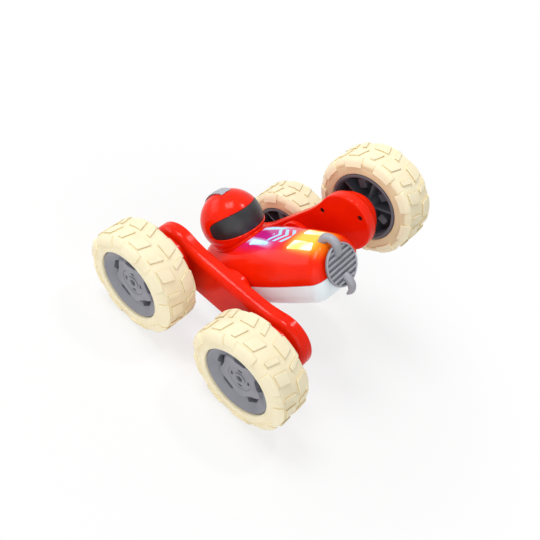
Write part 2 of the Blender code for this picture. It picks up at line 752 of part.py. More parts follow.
def add_arm_shells(frame, word):
    rim_low = ARM_SPLIT - GAP / 2
    inner = loft([dogbone(ARM_EDGE, ARM_INNER_FACE),
                  dogbone(ARM_EDGE_BULGE, ARM_INNER_FACE + ARM_EDGE_BULGE),
                  dogbone(0.0, ARM_INNER_FACE + ARM_EDGE),
                  dogbone(0.0, rim_low), dogbone(WALL, rim_low), dogbone(WALL, GEAR_FLOOR)])
    inner_shell = add_part(f"arm_{word}_inner_shell", inner, frame, RED)
    cut(inner_shell, spindle(((SLEEVE_BORE, 0.0), (SLEEVE_BORE, GEAR_FLOOR + GAP)), BORE_STEPS))
    for end in (-1, 1):
        pin = ((AXLE_RADIUS, GEAR_FLOOR - WALL / 2), (AXLE_RADIUS, GEAR_CEILING - GAP))
        join(inner_shell, spindle(pin, BORE_STEPS, (0.0, end * IDLER_OFFSET)))
        for along, up in SCREW_PLACES:
            hole = spindle(((SCREW_HOLE, 0.0), (SCREW_HOLE, GEAR_FLOOR + GAP)), SCREW_STEPS,
                           (end * up, end * (AXLE_OFFSET + along)))
            cut(inner_shell, hole)

    rim_high = ARM_SPLIT + GAP / 2
    outer = loft([dogbone(WALL, GEAR_CEILING), dogbone(WALL, rim_high), dogbone(0.0, rim_high),
                  dogbone(0.0, ARM_OUTER_FACE - ARM_EDGE),
                  dogbone(ARM_EDGE_BULGE, ARM_OUTER_FACE - ARM_EDGE_BULGE),
                  dogbone(ARM_EDGE, ARM_OUTER_FACE)])
    outer_shell = add_part(f"arm_{word}_outer_shell", outer, frame, RED)
    for end in (-1, 1):
        centre = (0.0, end * AXLE_OFFSET)
        base = GEAR_CEILING + WALL / 2
        boss = spindle(((BOSS_STEP_RADIUS, base), (BOSS_STEP_RADIUS, BOSS_STEP_FACE),
                        (BOSS_RADIUS, BOSS_STEP_FACE), (BOSS_RADIUS, BOSS_FACE)), BOSS_STEPS, centre)
        join(outer_shell, boss)
        seat = ((BUSH_RADIUS + GAP, 0.0), (BUSH_RADIUS + GAP, TRACK))
        cut(outer_shell, spindle(seat, BORE_STEPS, centre))


def add_sleeve(frame, word):
    flange = SLEEVE_RADIUS + SLEEVE_FLANGE
    inside = SLEEVE_INNER_END + SLEEVE_FLANGE
    collar_low = BODY_HALF_WIDTH + 2 * GAP
    collar_high = ARM_INNER_FACE - GAP
    ring = turned(((COLLAR_RADIUS, collar_high), (COLLAR_RADIUS, collar_low), (SLEEVE_RADIUS, collar_low),
                   (SLEEVE_RADIUS, inside), (flange, inside), (flange, SLEEVE_INNER_END),
                   (SLEEVE_BORE, SLEEVE_INNER_END), (SLEEVE_BORE, collar_high)), SLEEVE_STEPS)
    add_part(f"pivot_sleeve_{word}", ring, frame, RED)


# Gears

def gear_outline(teeth, first_tooth):
    """Straight sided teeth with pointed gaps, one of the teeth at the angle first_tooth."""
    pitch = 2 * math.pi / teeth
    tip = MODULE * (teeth / 2 + ADDENDUM)
    root = MODULE * (teeth / 2 - DEDENDUM)
    points = []
    for tooth in range(teeth):
        middle = first_tooth + tooth * pitch
        for radius, share in ((tip, -TIP_SHARE), (tip, TIP_SHARE), (root, 1 / 2)):
            angle = middle + share * pitch
            points.append((radius * math.cos(angle), radius * math.sin(angle)))
    return points


def gear(teeth, bore, tooth_in_line):
    """Gear centred on its own axis; on the line of centres lies a tooth, or else a gap."""
    first = math.pi / 2
    if not tooth_in_line:
        first += math.pi / teeth
    hole = [(x, y) for x, y, _ in circle(bore, 0.0, BORE_STEPS)]
    return prism([gear_outline(teeth, first), hole], GEAR_LOW, GEAR_HIGH)


def add_pinion(frame, word):
    outline = gear_outline(PINION_TEETH, math.pi / 2)
    pinion = add_part(f"drive_pinion_{word}", prism([outline], GEAR_LOW, GEAR_HIGH), frame, BRASS)
    shaft = ((SHAFT_RADIUS, SLEEVE_INNER_END), (SHAFT_RADIUS, GEAR_LOW + GEAR_WIDTH / 2))
    join(pinion, spindle(shaft, BORE_STEPS))


# Wheels

def tread_groove(row, turn):
    """Slanted slot of one tread row, from the middle of the tread out over the shoulder."""
    reach = TYRE_WIDTH / 2

    def point_at(radius, column, share):
        run = TREAD_GROOVE * (column - 0.5) + GROOVE_LEAD * share
        angle = run / WHEEL_RADIUS + turn
        return (radius * math.cos(angle), radius * math.sin(angle), row * reach * share)
    return patch(point_at, 1, 1, WHEEL_RADIUS - TREAD_DEPTH, WHEEL_RADIUS + TREAD_DEPTH)


def tread_grooves():
    """Two rows of grooves that meet the middle half a pitch apart, so the blocks are staggered."""
    grooves = []
    for row, stagger in ((-1, 0.0), (1, 0.5)):
        for number in range(TREAD_PITCHES):
            grooves.append(tread_groove(row, 2 * math.pi * (number + stagger) / TREAD_PITCHES))
    return merge_meshes(grooves)


def add_tyre(frame, name):
    half = TYRE_WIDTH / 2
    outer = [(RIM_RADIUS + GAP, half - BEAD_DROP), (SIDEWALL_RADIUS, half),
             (WHEEL_RADIUS - SHOULDER_DROP, TREAD_WIDTH / 2), (WHEEL_RADIUS, TREAD_FACE / 2)]
    profile = outer + [(radius, -height) for radius, height in reversed(outer)]
    tyre = add_part(f"{name}_tyre", turned(profile, WHEEL_STEPS), frame, RUBBER)
    cut(tyre, tread_grooves())


def add_rim(frame, name):
    inner_edge = -RIM_INNER_EDGE
    barrel = RIM_RADIUS - RIM_LIP
    seat = CAP_OUTER_EDGE - CAP_FLANGE - GAP
    bore = AXLE_RADIUS + GAP
    web_high = DISH_HEIGHT - CAP_SKIN - GAP
    web_low = web_high - WEB_THICKNESS
    hub_end = inner_edge + HUB_RECESS
    ring = turned(((RIM_RADIUS, seat), (RIM_RADIUS, inner_edge), (barrel, inner_edge), (barrel, web_low),
                   (HUB_RADIUS, web_low), (HUB_RADIUS, hub_end), (bore, hub_end),
                   (bore, web_high), (barrel, web_high), (barrel, seat)), WHEEL_STEPS)
    rim = add_part(f"{name}_rim", ring, frame, DARK)
    ribs = []
    for number in range(SPOKES):
        rib = box((HUB_RADIUS - SINK, -RIB_THICKNESS / 2, inner_edge + RIB_RECESS),
                  (barrel + SINK, RIB_THICKNESS / 2, web_low + SINK))
        rib.transform(Matrix.Rotation(2 * math.pi * (number + 0.25) / SPOKES, 4, "Z"))
        ribs.append(rib)
    join(rim, merge_meshes(ribs))


def star_outline():
    """Blunt star with a notch in line with each vent, as (x, y) pairs."""
    points = []
    for number in range(SPOKES):
        notch = 2 * math.pi * number / SPOKES
        point = notch + math.pi / SPOKES
        points.append((STAR_NOTCH * math.cos(notch), STAR_NOTCH * math.sin(notch)))
        for side in (-STAR_TIP, STAR_TIP):
            points.append((STAR_POINT * math.cos(point) - side * math.sin(point),
                           STAR_POINT * math.sin(point) + side * math.cos(point)))
    return points


def add_cap(frame, name):
    flange = CAP_OUTER_EDGE - CAP_FLANGE
    inside = RIM_RADIUS - RIM_LIP - GAP
    bore = AXLE_RADIUS + GAP
    low = DISH_HEIGHT - CAP_SKIN
    dish = turned(((RIM_RADIUS, CAP_OUTER_EDGE), (RIM_RADIUS, flange), (inside, flange),
                   (DISH_RADIUS, low), (HUB_RADIUS, low), (HUB_RADIUS, DISH_HEIGHT),
                   (DISH_RADIUS, DISH_HEIGHT)), WHEEL_STEPS)
    cap = add_part(f"{name}_cap", dish, frame, GREY)
    hole = [(x, y) for x, y, _ in circle(bore, 0.0, BORE_STEPS)]
    join(cap, prism([star_outline(), hole], DISH_HEIGHT - CAP_SKIN / 2, PLATEAU_HEIGHT))
    vents = []
    for number in range(SPOKES):
        angle = 2 * math.pi * number / SPOKES
        centre = (VENT_CIRCLE * math.cos(angle), VENT_CIRCLE * math.sin(angle))
        vents.append(spindle(((VENT_RADIUS, -TYRE_WIDTH), (VENT_RADIUS, TYRE_WIDTH)), VENT_STEPS, centre))
    cut(cap, merge_meshes(vents))


def add_axle(arm, name, end):
    """Axle, its gear and its bush, placed in the arm's frame on the axle line."""
    frame = add_frame(f"{name}_axle_line", arm, Matrix.Translation((0.0, end * AXLE_OFFSET, 0.0)))
    add_part(f"{name}_axle_gear", gear(AXLE_TEETH, AXLE_RADIUS + GAP, True), frame, NYLON)
    tip = TRACK / 2 + PLATEAU_HEIGHT - AXLE_RECESS
    rod = spindle(((AXLE_RADIUS, GEAR_FLOOR + GAP), (AXLE_RADIUS, tip)), BORE_STEPS)
    add_part(f"{name}_axle", rod, frame, STEEL)
    bore = AXLE_RADIUS + GAP
    ring = turned(((BUSH_RADIUS, BOSS_FACE), (BUSH_RADIUS, GEAR_HIGH + GAP), (bore, GEAR_HIGH + GAP),
                   (bore, BOSS_FACE)), BORE_STEPS)
    add_part(f"{name}_bush", ring, frame, BRASS)


def add_wheel(arm, name, end, phase):
    place = Matrix.Translation((0.0, end * AXLE_OFFSET, TRACK / 2)) @ Matrix.Rotation(phase, 4, "Z")
    frame = add_frame(f"{name}_wheel", arm, place)
    add_tyre(frame, name)
    add_rim(frame, name)
    add_cap(frame, name)


def add_arm(body, word, swing, outward):
    turn = Matrix.Rotation(swing, 4, "X") @ Matrix.Rotation(outward * math.pi / 2, 4, "Y")
    arm = add_frame(f"arm_{word}", body, turn)
    fixed = add_frame(f"motor_line_{word}", body, Matrix.Rotation(outward * math.pi / 2, 4, "Y"))
    add_motor(fixed, word)
    add_sleeve(arm, word)
    add_arm_shells(arm, word)
    add_pinion(arm, word)
    for place, end in (("front", -1), ("rear", 1)):
        spot = Matrix.Translation((0.0, end * IDLER_OFFSET, 0.0))
        line = add_frame(f"{place}_{word}_idler_line", arm, spot)
        idler = gear(IDLER_TEETH, AXLE_RADIUS + GAP, False)
        add_part(f"{place}_{word}_idler_gear", idler, line, NYLON)
        add_axle(arm, f"{place}_{word}", end)
        add_wheel(arm, f"{place}_{word}", end, 0.0)


clear_scene()
PARTS = new_collection("stunt_car")
CUTTERS = new_collection("cutters")

RED = plastic("red_plastic", (0.80, 0.012, 0.006), 0.22)
WHITE = plastic("white_plastic", (0.86, 0.87, 0.90), 0.30)
GREY = plastic("grey_plastic", (0.25, 0.26, 0.29), 0.42)
DARK = plastic("charcoal_plastic", (0.035, 0.037, 0.042), 0.45)
VISOR = plastic("visor_plastic", (0.022, 0.024, 0.028), 0.15)
RUBBER = plastic("cream_rubber", (0.90, 0.80, 0.57), 0.75)
AMBER = plastic("amber_window", (1.0, 0.62, 0.10), 0.2)
BLUE = plastic("blue_window", (0.25, 0.70, 1.0), 0.2)
LAMP = plastic("lamp_resin", (0.85, 0.90, 0.95), 0.15)
STEEL = plastic("steel", (0.55, 0.55, 0.56), 0.35, 1.0)
BRASS = plastic("brass", (0.75, 0.56, 0.25), 0.35, 1.0)
NYLON = plastic("nylon", (0.80, 0.79, 0.74), 0.5)
BOARD = plastic("circuit_board", (0.02, 0.18, 0.06), 0.5)
BATTERY_WRAP = plastic("battery_wrap", (0.05, 0.12, 0.45), 0.35)

stance = add_frame("stance", None, Matrix.Translation((STANCE_SHIFT, 0.0, STANCE_HEIGHT))
                   @ Matrix.Rotation(-LEAN, 4, "Y"))
car = add_frame("car_body", stance, Matrix.Rotation(-BODY_PITCH, 4, "X"))
upper_shell, lower_shell = add_body_shells(car)
add_power_switch(car)
add_body_contents(car)
add_helmet(car)
grille_disc = add_grille(car)
add_horn(car, "upper", 1, upper_shell, grille_disc)
add_horn(car, "lower", -1, lower_shell, grille_disc)
add_arm(car, "left", BODY_PITCH, -1)
add_arm(car, "right", BODY_PITCH - ARM_TWIST, 1)
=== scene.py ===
"""Looks of the stunt car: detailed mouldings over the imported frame, their materials, light and camera.

Every piece is built in a frame of its own, taken from the joints, and keeps that frame's
coordinates in the mesh attribute "local", which the materials read.
"""
import functools
import json
from math import acos, atan2, copysign, cos, pi, radians, remainder, sin, sqrt, tan, tau

import bmesh
import bpy
from mathutils import Matrix, Vector
from mathutils.bvhtree import BVHTree


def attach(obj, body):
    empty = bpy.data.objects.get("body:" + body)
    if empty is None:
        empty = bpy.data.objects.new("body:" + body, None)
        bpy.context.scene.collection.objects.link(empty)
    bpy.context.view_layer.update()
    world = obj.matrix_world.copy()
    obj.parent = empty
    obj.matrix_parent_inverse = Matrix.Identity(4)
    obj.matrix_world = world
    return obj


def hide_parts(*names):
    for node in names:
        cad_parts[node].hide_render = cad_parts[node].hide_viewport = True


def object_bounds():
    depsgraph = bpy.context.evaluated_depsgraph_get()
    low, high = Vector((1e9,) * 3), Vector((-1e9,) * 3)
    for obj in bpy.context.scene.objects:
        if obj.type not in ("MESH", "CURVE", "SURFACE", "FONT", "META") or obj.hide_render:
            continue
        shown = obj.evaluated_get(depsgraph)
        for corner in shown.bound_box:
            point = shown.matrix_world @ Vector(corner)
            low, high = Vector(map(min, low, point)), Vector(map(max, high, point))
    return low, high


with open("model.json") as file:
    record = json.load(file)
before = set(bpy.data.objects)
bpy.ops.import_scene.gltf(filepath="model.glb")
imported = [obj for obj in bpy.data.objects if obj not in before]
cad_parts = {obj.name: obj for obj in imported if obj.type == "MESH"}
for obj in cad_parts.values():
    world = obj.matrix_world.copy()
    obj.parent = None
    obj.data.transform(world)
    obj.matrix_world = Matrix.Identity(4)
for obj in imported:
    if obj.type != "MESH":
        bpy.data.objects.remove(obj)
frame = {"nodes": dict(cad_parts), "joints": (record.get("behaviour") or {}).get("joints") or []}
CAD_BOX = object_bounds()

MM = 0.001
LOCAL = "local"  # mesh attribute with a piece's own coordinates
SHARP = radians(38.0)

# Steps round things, by their size, and along rounded corners and edges
PIN_STEPS, BORE_STEPS, BUSH_STEPS, HUB_STEPS, RING_STEPS, DISC_STEPS = 28, 32, 40, 48, 64, 72
RIM_ARC, ARC, EDGE_ARC, SLOT_ARC, ARM_ARC, PLATEAU_ARC = 3, 4, 5, 6, 7, 8

# Fits, as in the solids
GAP = 0.3 * MM
WALL = 1.6 * MM

FINE_EDGE = 0.3 * MM  # rounding or bevel of small edges

# Tyre; its half section is a line of points: radius, distance from the middle
WHEEL_RADIUS = 32.5 * MM
WHEEL_STEPS = 108
PITCHES = 9
TYRE_PHASES = {"front_left": 9.0, "rear_left": 8.5, "front_right": 14.0, "rear_right": 11.5}
TYRE_HALF = ((21.5, 9.8), (21.5, 11.3), (21.9, 11.75), (22.8, 11.9), (24.6, 11.9), (26.2, 11.7),
             (27.2, 11.45), (28.3, 11.1), (29.4, 10.65), (30.3, 10.05), (30.95, 9.3), (31.25, 8.6),
             (31.35, 7.6), (31.35, 2.5))
TREAD_FLOOR = 31.35 * MM
TREAD_ROOT = 30.4 * MM  # where the blocks start inside the tyre
SHOULDER_START = 6.5 * MM  # from the middle; beyond it the tread falls off
SHOULDER_FALL = 0.10
# Tread blocks: near and far edge across, start and end round the tyre, slant
ROW_OFFSET = 9.4  # of the left row against the right row, round the tyre
BLOCKS = ((-8.4, -0.7, -7.2 + ROW_OFFSET, ROW_OFFSET, 2.1),
          (-8.4, -0.7, 7.5 + ROW_OFFSET, 10.4 + ROW_OFFSET, 2.1),
          (2.2, 9.0, -9.4, 0.0, -2.3), (2.2, 9.0, 4.4, 7.3, -2.3))
BLOCK_EDGE = 0.35 * MM
BLOCK_STEP = 1.9 * MM  # rough length of a block's faces round the tyre
# Shoulder lugs: lowest point of the half section, start and end round the tyre, height
LUGS = ((5, -9.4, 3.9, 0.95), (6, 4.5, 12.7, 0.35))
LUG_SHIFTS = {-1: ROW_OFFSET, 1: 0.0}
LUG_TOP = 11  # point of the half section where the lugs end
LUG_ROOT = 0.65 * MM
LUG_BEVEL = 0.6  # share of a block's bevel

# Rim
RIM_RADIUS = 21.2 * MM
RIM_LIP = 2.3 * MM
RIM_INNER_EDGE = 12.0 * MM
RIM_ROUND = 0.5 * MM
RIM_LEDGE = 1.6 * MM  # depth of the step inside the open edge
RIM_WEB = 2.2 * MM
HUB_RADIUS = 5.2 * MM
HUB_SETBACK = 1.0 * MM  # from the open edge
AXLE_RADIUS = 1.5 * MM
AXLE_SETBACK = 2.0 * MM  # from the cap's plateau
RIM_RIBS = 10  # thin ribs and blocks by turns
RIB_HALF_WIDTH = 0.7 * MM
RIB_SETBACK = 4.0 * MM
RIB_ROOT = 1.0 * MM  # how far ribs and blocks reach into what carries them
RIM_BLOCK_REACH = (10.0 * MM, 16.0 * MM)
RIM_BLOCK_HALF_WIDTH = 2.5 * MM
RIM_BLOCK_SETBACK = 5.5 * MM

# Cap
CAP_OUTER_EDGE = 10.4 * MM
CAP_FLANGE = 1.6 * MM
CAP_SKIN = 1.8 * MM
CAP_TURN = radians(12.0)
DISH_RADIUS = 16.2 * MM
DISH_HEIGHT = 5.4 * MM
BOWL_RADIUS = 14.0 * MM  # flat floor of the bowl round the plateau
BOWL_HEIGHT = 6.0 * MM
SPOKES = 5
PLATEAU_POINT = 15.6 * MM  # five cornered
PLATEAU_CORNER = 2.8 * MM
PLATEAU_HEIGHT = 8.0 * MM
PLATEAU_EDGE = 0.8 * MM
PLATEAU_SKIRT = 1.2 * MM
HUB_RECESS = 8.2 * MM
HUB_RECESS_DEPTH = 0.6 * MM
HUB_BOSS = 3.7 * MM
VENT_CIRCLE = 13.7 * MM
VENT_SIZE = (2.1 * MM, 4.4 * MM, 1.95 * MM)  # half depth, half width, corner
SLOTS = 4
SLOT_CIRCLE = 5.7 * MM
SLOT_SIZE = (0.65 * MM, 1.4 * MM, 0.35 * MM)
SLOT_DEPTH = 1.5 * MM

# Swing arms
ARM_INNER_FACE = 30.3 * MM
ARM_SPLIT = 35.15 * MM
ARM_OUTER_FACE = 40.0 * MM
ARM_END_RADIUS = 17.8 * MM
ARM_WAIST = 14.5 * MM
ARM_NECK = 60.0 * MM
ARM_EDGE = 1.2 * MM
ARM_OUTER_EDGE = 4.6 * MM
ARM_SEAM = 0.06 * MM
NECK_STEPS = 10
END_STEPS = 22
BOSS_STEP_RADIUS = 14.2 * MM
BOSS_RADIUS = 11.6 * MM
BOSS_STEP_FACE = 43.57 * MM
BOSS_FACE = 47.0 * MM
BOSS_EDGE = 0.5 * MM
BUSH_RADIUS = 4.0 * MM
SCREW_HEAD = 1.5 * MM
SCREW_CROWN = ((0.55, -0.25), (0.88, -0.1), (1.0, 0.2))  # share of the head's radius, height
SCREW_DEPTH = 1.0 * MM
SCREW_THICKNESS = 0.35 * MM
SCREW_GAP = 0.1 * MM
SCREW_SLOT = (1.05 * MM, 0.25 * MM, 0.15 * MM)  # half length, half width, floor
SCREW_TURN = 0.4
SCREW_PLACES = ((13.6 * MM, -0.4 * MM), (-10.2 * MM, 11.4 * MM))  # beyond the axle, beside it
SLEEVE_RADIUS = 7.0 * MM
SLEEVE_FLANGE = 1.6 * MM
SLEEVE_BORE = 3.0 * MM
SLEEVE_INNER_END = 19.4 * MM
COLLAR_RADIUS = 12.6 * MM

# Body shells, in the body frame
BODY_HALF_WIDTH = 25.9 * MM
BODY_HEIGHT = 20.0 * MM
BODY_DEPTH = 15.0 * MM
NOSE_REACH = 57.2 * MM
NOSE_NARROWING = 7.9 * MM
NOSE_FALL = 4.3 * MM
NOSE_CORNER = (7.8 * MM, 7.0 * MM)
TAIL_REACH = 44.0 * MM
TAIL_NARROWING = 3.9 * MM
TAIL_FALL = 3.9 * MM
TAIL_CORNER = (15.0 * MM, 13.0 * MM)
DECK_END_ROUND = 6.0 * MM
BELLY_END_ROUND = 10.0 * MM
UPPER_ROUNDNESS = 2.12
LOWER_ROUNDNESS = 4.2
SECTION_STEPS = 14
CORNER_STEPS = 10
SIDE_STEPS = 22
END_BOW = 0.6 * MM
# Windows of the right side: beside the middle, forward of the pivots
FRONT_WINDOW = ((3.2, 34.4), (10.8, 32.6), (9.2, 49.8), (3.5, 48.0))
REAR_WINDOW = ((5.4, 3.0), (10.8, 3.0), (9.6, 18.0), (7.0, 17.0))
WINDOW_CORNER = 0.9
PANE_INSET, PANE_CORNER = 0.3, 0.7
WINDOW_LOW, WINDOW_HIGH = 2.0 * MM, 40.0 * MM
# Belly: the battery cover lies forward of the pivots, the slit of the switch behind them
COVER_HALF_WIDTH = 10.5 * MM
COVER_BACK, COVER_FRONT = 13.5 * MM, 38.5 * MM
SLIT_HALF_WIDTH = 1.8 * MM
SLIT_FRONT, SLIT_BACK = 20.2 * MM, 27.8 * MM
SLIT_TOP = -7.5 * MM
BELOW = -30.0 * MM  # under the belly

# Helmet
HELMET_RADIUS = 19.0 * MM
HELMET_MIDDLE = Vector((0.0, 16.7 * MM, 29.0 * MM))  # behind the pivots and above them
HELMET_WALL = 2.4 * MM
HELMET_STEPS = (72, 40)  # outside, inside
VISOR_HALF_SPAN = radians(84.0)
VISOR_TOP = radians(29.0)
VISOR_BOTTOM = radians(-11.5)
VISOR_TILT = radians(4.0)
VISOR_THICKNESS = 1.2 * MM
VISOR_END = 0.5  # share of the upper half's height that is left at the ends
VISOR_GRID = (40, 12)
LIP_STEPS = 48
LIP_ROUND, FOOT_ROUND = 12, 16  # steps round the tubes
LIP_SPREAD = 0.03
LIP_LIFT = 0.1 * MM
LIP_RADII = (0.2 * MM, 0.4 * MM)  # at the ends, and more in the middle
CREST_HALF_WIDTH = radians(11.0)
CREST_FRONT = radians(73.0)
CREST_BACK = radians(168.0)
CREST_THICKNESS = 0.6 * MM
CREST_GRID = (26, 36)
CREST_GROOVE = (0.45, 0.16, 0.45 * MM)  # place and half width as shares, depth
CREST_FADE = (0.08, 0.5 * MM)  # share of the length at both ends, depth
FOOT_STEPS = 72
FOOT_RANGE = (radians(-80.0), radians(10.0))
FOOT_LIFT = 0.3 * MM
FOOT_ABOVE = 0.5 * MM  # the deck
FOOT_TUBE = 1.3 * MM
SEARCH_ROUNDS = 30

# Nose
GRILLE_RADIUS = 12.1 * MM
GRILLE_LIFT = 1.5 * MM
GRILLE_THICKNESS = 1.7 * MM
GRILLE_EDGE = 0.6 * MM
GRILLE_LIP = 1.0 * MM
GRILLE_RECESS = 1.1 * MM
GRILLE_RIBS = 7
GRILLE_RIB_HALF = 0.75 * MM
GRILLE_FRONT = NOSE_REACH + GAP + GRILLE_THICKNESS
# Points along the horns: ahead of the nose, height
HORN_PATHS = {"upper": ((-8.0, 12.0), (-6.7, 15.2), (-3.9, 17.7), (-0.3, 17.4), (2.2, 14.8), (1.9, 11.4),
                        (0.2, 8.3)),
              "lower": ((0.2, -4.6), (2.3, -7.3), (3.1, -10.9), (1.4, -14.6), (-2.4, -17.0))}
HORN_RADIUS = 2.5 * MM
HORN_TIP = 0.7 * MM
HORN_STEPS = (8, 24)  # between two points, round the horn
HORN_TAPER = 0.35  # share of the lower horn's length where it starts to taper

# Material tones and the fine grain of surfaces
RED_TONES = ((0.90, 0.018, 0.001), (0.84, 0.013, 0.001))
NOSE_TONES = ((0.37, 0.37, 0.41), (0.33, 0.33, 0.37))
WHITE_LIGHT = (1.0, 1.0, 1.0, 1.0)
TONE_SCALE, GLOSS_SCALE = 60.0, 140.0
MOULD_GRAIN, FINE_GRAIN = 1.0 / (0.35 * MM), 2800.0
NOISE_DETAIL = 3.0
GRAIN_DEPTH = 0.1 * MM
DRIFT_RANGE = (0.35, 0.65)  # of the noise that tones and gloss drift with

# Camera: fitted to the photograph
CAMERA_PLACE = (-297.33 * MM, -118.22 * MM, 281.19 * MM)
CAMERA_TURN = (50.253, -20.683, -52.153)
CAMERA_LENS = 43.957
CAMERA_SENSOR = 36.0
CAMERA_NEAR = 0.01

# Studio: softboxes by place, size and power, the even light, and where the floor fades to white
SOFTBOXES = {"top": ((-0.22, 0.28, 0.70), (0.28, 0.28), 2.7),
             "lamp": ((0.14, -0.03, 0.70), (0.06, 0.06), 0.75),
             "rear": ((-0.42, 1.15, 0.38), (1.0, 0.5), 3.8),
             "front": ((-0.95, -0.72, 0.50), (1.6, 1.2), 8.0)}
SOFTBOX_AIM = (0.0, 0.0, 0.05)
EVEN_LIGHT = 0.28
FLOOR_HALF = 4.0
FLOOR_FADE = (0.08, 0.22)
FLOOR_WHITE = 0.72


# Frames, taken from the joints

JOINTS = {joint["name"]: joint for joint in frame["joints"]}
AXIS = Vector(JOINTS["swing_left"]["axis"]).normalized()
PIVOT = Vector(JOINTS["swing_left"]["pos_m"])
FORWARD = Vector(JOINTS["switch_slide"]["axis"]).normalized()


def axes_frame(x, y, z, origin):
    turn = Matrix((x, y, z)).transposed().to_4x4()
    return Matrix.Translation(origin) @ turn


def place_of(wheel):
    return Vector(JOINTS[f"spin_{wheel}"]["pos_m"])


def arm_frame(word):
    """Frame of an arm: Z outward from the car, Y from its front wheel to its rear wheel."""
    outward = -AXIS if word == "left" else AXIS
    along = (place_of(f"rear_{word}") - place_of(f"front_{word}")).normalized()
    return axes_frame(along.cross(outward), along, outward, PIVOT)


def wheel_frame(wheel):
    place = arm_frame(wheel.split("_")[1])
    place.translation = place_of(wheel)
    return place


BODY_FRAME = axes_frame(AXIS, -FORWARD, AXIS.cross(-FORWARD), PIVOT)
AXLE_OFFSET = (place_of("rear_left") - place_of("front_left")).length / 2


# Mesh helpers

def add_object(name, data):
    holder = bpy.data.objects.new(name, data)
    bpy.context.scene.collection.objects.link(holder)
    return holder


def to_mesh(shape):
    bmesh.ops.recalc_face_normals(shape, faces=shape.faces)
    data = bpy.data.meshes.new("shape")
    shape.to_mesh(data)
    shape.free()
    return data


def quads(shape, rows):
    for lower, upper in zip(rows, rows[1:]):
        for corners in zip(lower, lower[1:], upper[1:], upper):
            shape.faces.new(corners)


def skin(shape, rows, loop=False):
    """Quads between rows of points; a row is closed on itself, and with loop the last row joins the first."""
    quads(shape, [row + row[:1] for row in (rows + rows[:1] if loop else rows)])


def loft(rings, loop=False):
    """Closed body through rings of equally many points; with loop its ends meet, or else they are capped."""
    shape = bmesh.new()
    rows = [[shape.verts.new(point) for point in ring] for ring in rings]
    skin(shape, rows, loop)
    if not loop:
        shape.faces.new(rows[0])
        shape.faces.new(rows[-1])
    return to_mesh(shape)


def quarter(steps):
    """Cosines and sines along a quarter turn."""
    angles = [pi / 2 * step / steps for step in range(steps + 1)]
    return [(cos(angle), sin(angle)) for angle in angles]


def circle(radius, height, steps, centre=(0.0, 0.0)):
    angles = [tau * step / steps for step in range(steps)]
    return [(centre[0] + radius * cos(a), centre[1] + radius * sin(a), height) for a in angles]


def spindle(profile, steps, centre=(0.0, 0.0)):
    """Solid round body from (radius, height) pairs."""
    return loft([circle(radius, height, steps, centre) for radius, height in profile])


def lathe(outline, steps):
    """Ring: a closed (radius, height) outline spun about Z."""
    return loft([circle(radius, height, steps) for radius, height in outline], loop=True)


def rounded(corners, steps):
    """Closed outline; each corner (u, v, radius) becomes an arc."""
    points = []
    for here, (u, v, radius) in enumerate(corners):
        corner = Vector((u, v))
        if radius == 0.0:
            points.append((u, v))
            continue
        back = (Vector(corners[here - 1][:2]) - corner).normalized()
        ahead = (Vector(corners[(here + 1) % len(corners)][:2]) - corner).normalized()
        half = back.angle(ahead) / 2
        centre = corner + (back + ahead).normalized() * radius / sin(half)
        first = corner + back * radius / tan(half) - centre
        last = corner + ahead * radius / tan(half) - centre
        start = atan2(first.y, first.x)
        sweep = remainder(atan2(last.y, last.x) - start, tau)
        for step in range(steps + 1):
            angle = start + sweep * step / steps
            points.append((centre.x + radius * cos(angle), centre.y + radius * sin(angle)))
    return points


def box(low, high, edge=0.0):
    """Box between two corners with bevelled edges."""
    shape = bmesh.new()
    bmesh.ops.create_cube(shape, size=1.0)
    low, high = Vector(low), Vector(high)
    for vert in shape.verts:
        vert.co = (low + high) / 2 + Vector([a * b for a, b in zip(vert.co, high - low)])
    if edge:
        bmesh.ops.bevel(shape, geom=shape.edges, offset=edge, segments=3, profile=0.5, affect="EDGES")
    return to_mesh(shape)


def sweep_tube(points, normals, radii, steps, loop=False):
    """Round tube along points; normals keep its rings from twisting."""
    rings = []
    count = len(points)
    for here, point in enumerate(points):
        before = points[here - 1] if loop or here else point
        after = points[(here + 1) % count] if loop or here + 1 < count else point
        along = (after - before).normalized()
        sideways = along.cross(normals[here]).normalized()
        lift = sideways.cross(along)
        ring = []
        for step in range(steps):
            angle = tau * step / steps
            ring.append(point + radii[here] * (cos(angle) * lift + sin(angle) * sideways))
        rings.append(ring)
    return loft(rings, loop)


def patch(point_at, columns, rows, inner, outer):
    """Curved plate between two radii; point_at gives a point from radius, column and row shares."""
    shape = bmesh.new()
    skins = []
    for radius in (inner, outer):
        skins.append([[shape.verts.new(point_at(radius, c / columns, r / rows))
                       for c in range(columns + 1)] for r in range(rows + 1)])
    rims = []
    for grid in skins:
        quads(shape, grid)
    for grid in skins:
        rim = grid[0] + [row[-1] for row in grid[1:]]
        rims.append(rim + grid[-1][-2::-1] + [row[0] for row in grid[-2:0:-1]])
    skin(shape, rims)
    return to_mesh(shape)


def prism(outline, low, high):
    return loft([[(x, y, height) for x, y in outline] for height in (low, high)])


def merged(meshes):
    shape = bmesh.new()
    for data in meshes:
        shape.from_mesh(data)
        bpy.data.meshes.remove(data)
    return to_mesh(shape)


def combine(base, tool, operation):
    """Mesh of two closed meshes joined, cut or intersected; both are used up."""
    holders = [add_object("holder", data) for data in (base, tool)]
    step = holders[0].modifiers.new("combine", "BOOLEAN")
    step.operation = operation
    step.solver = "EXACT"
    step.object = holders[1]
    graph = bpy.context.evaluated_depsgraph_get()
    result = bpy.data.meshes.new_from_object(holders[0].evaluated_get(graph))
    for holder in holders:
        data = holder.data
        bpy.data.objects.remove(holder, do_unlink=True)
        bpy.data.meshes.remove(data)
    return result


def cut(base, *tools):
    for tool in tools:
        base = combine(base, tool, "DIFFERENCE")
    return base


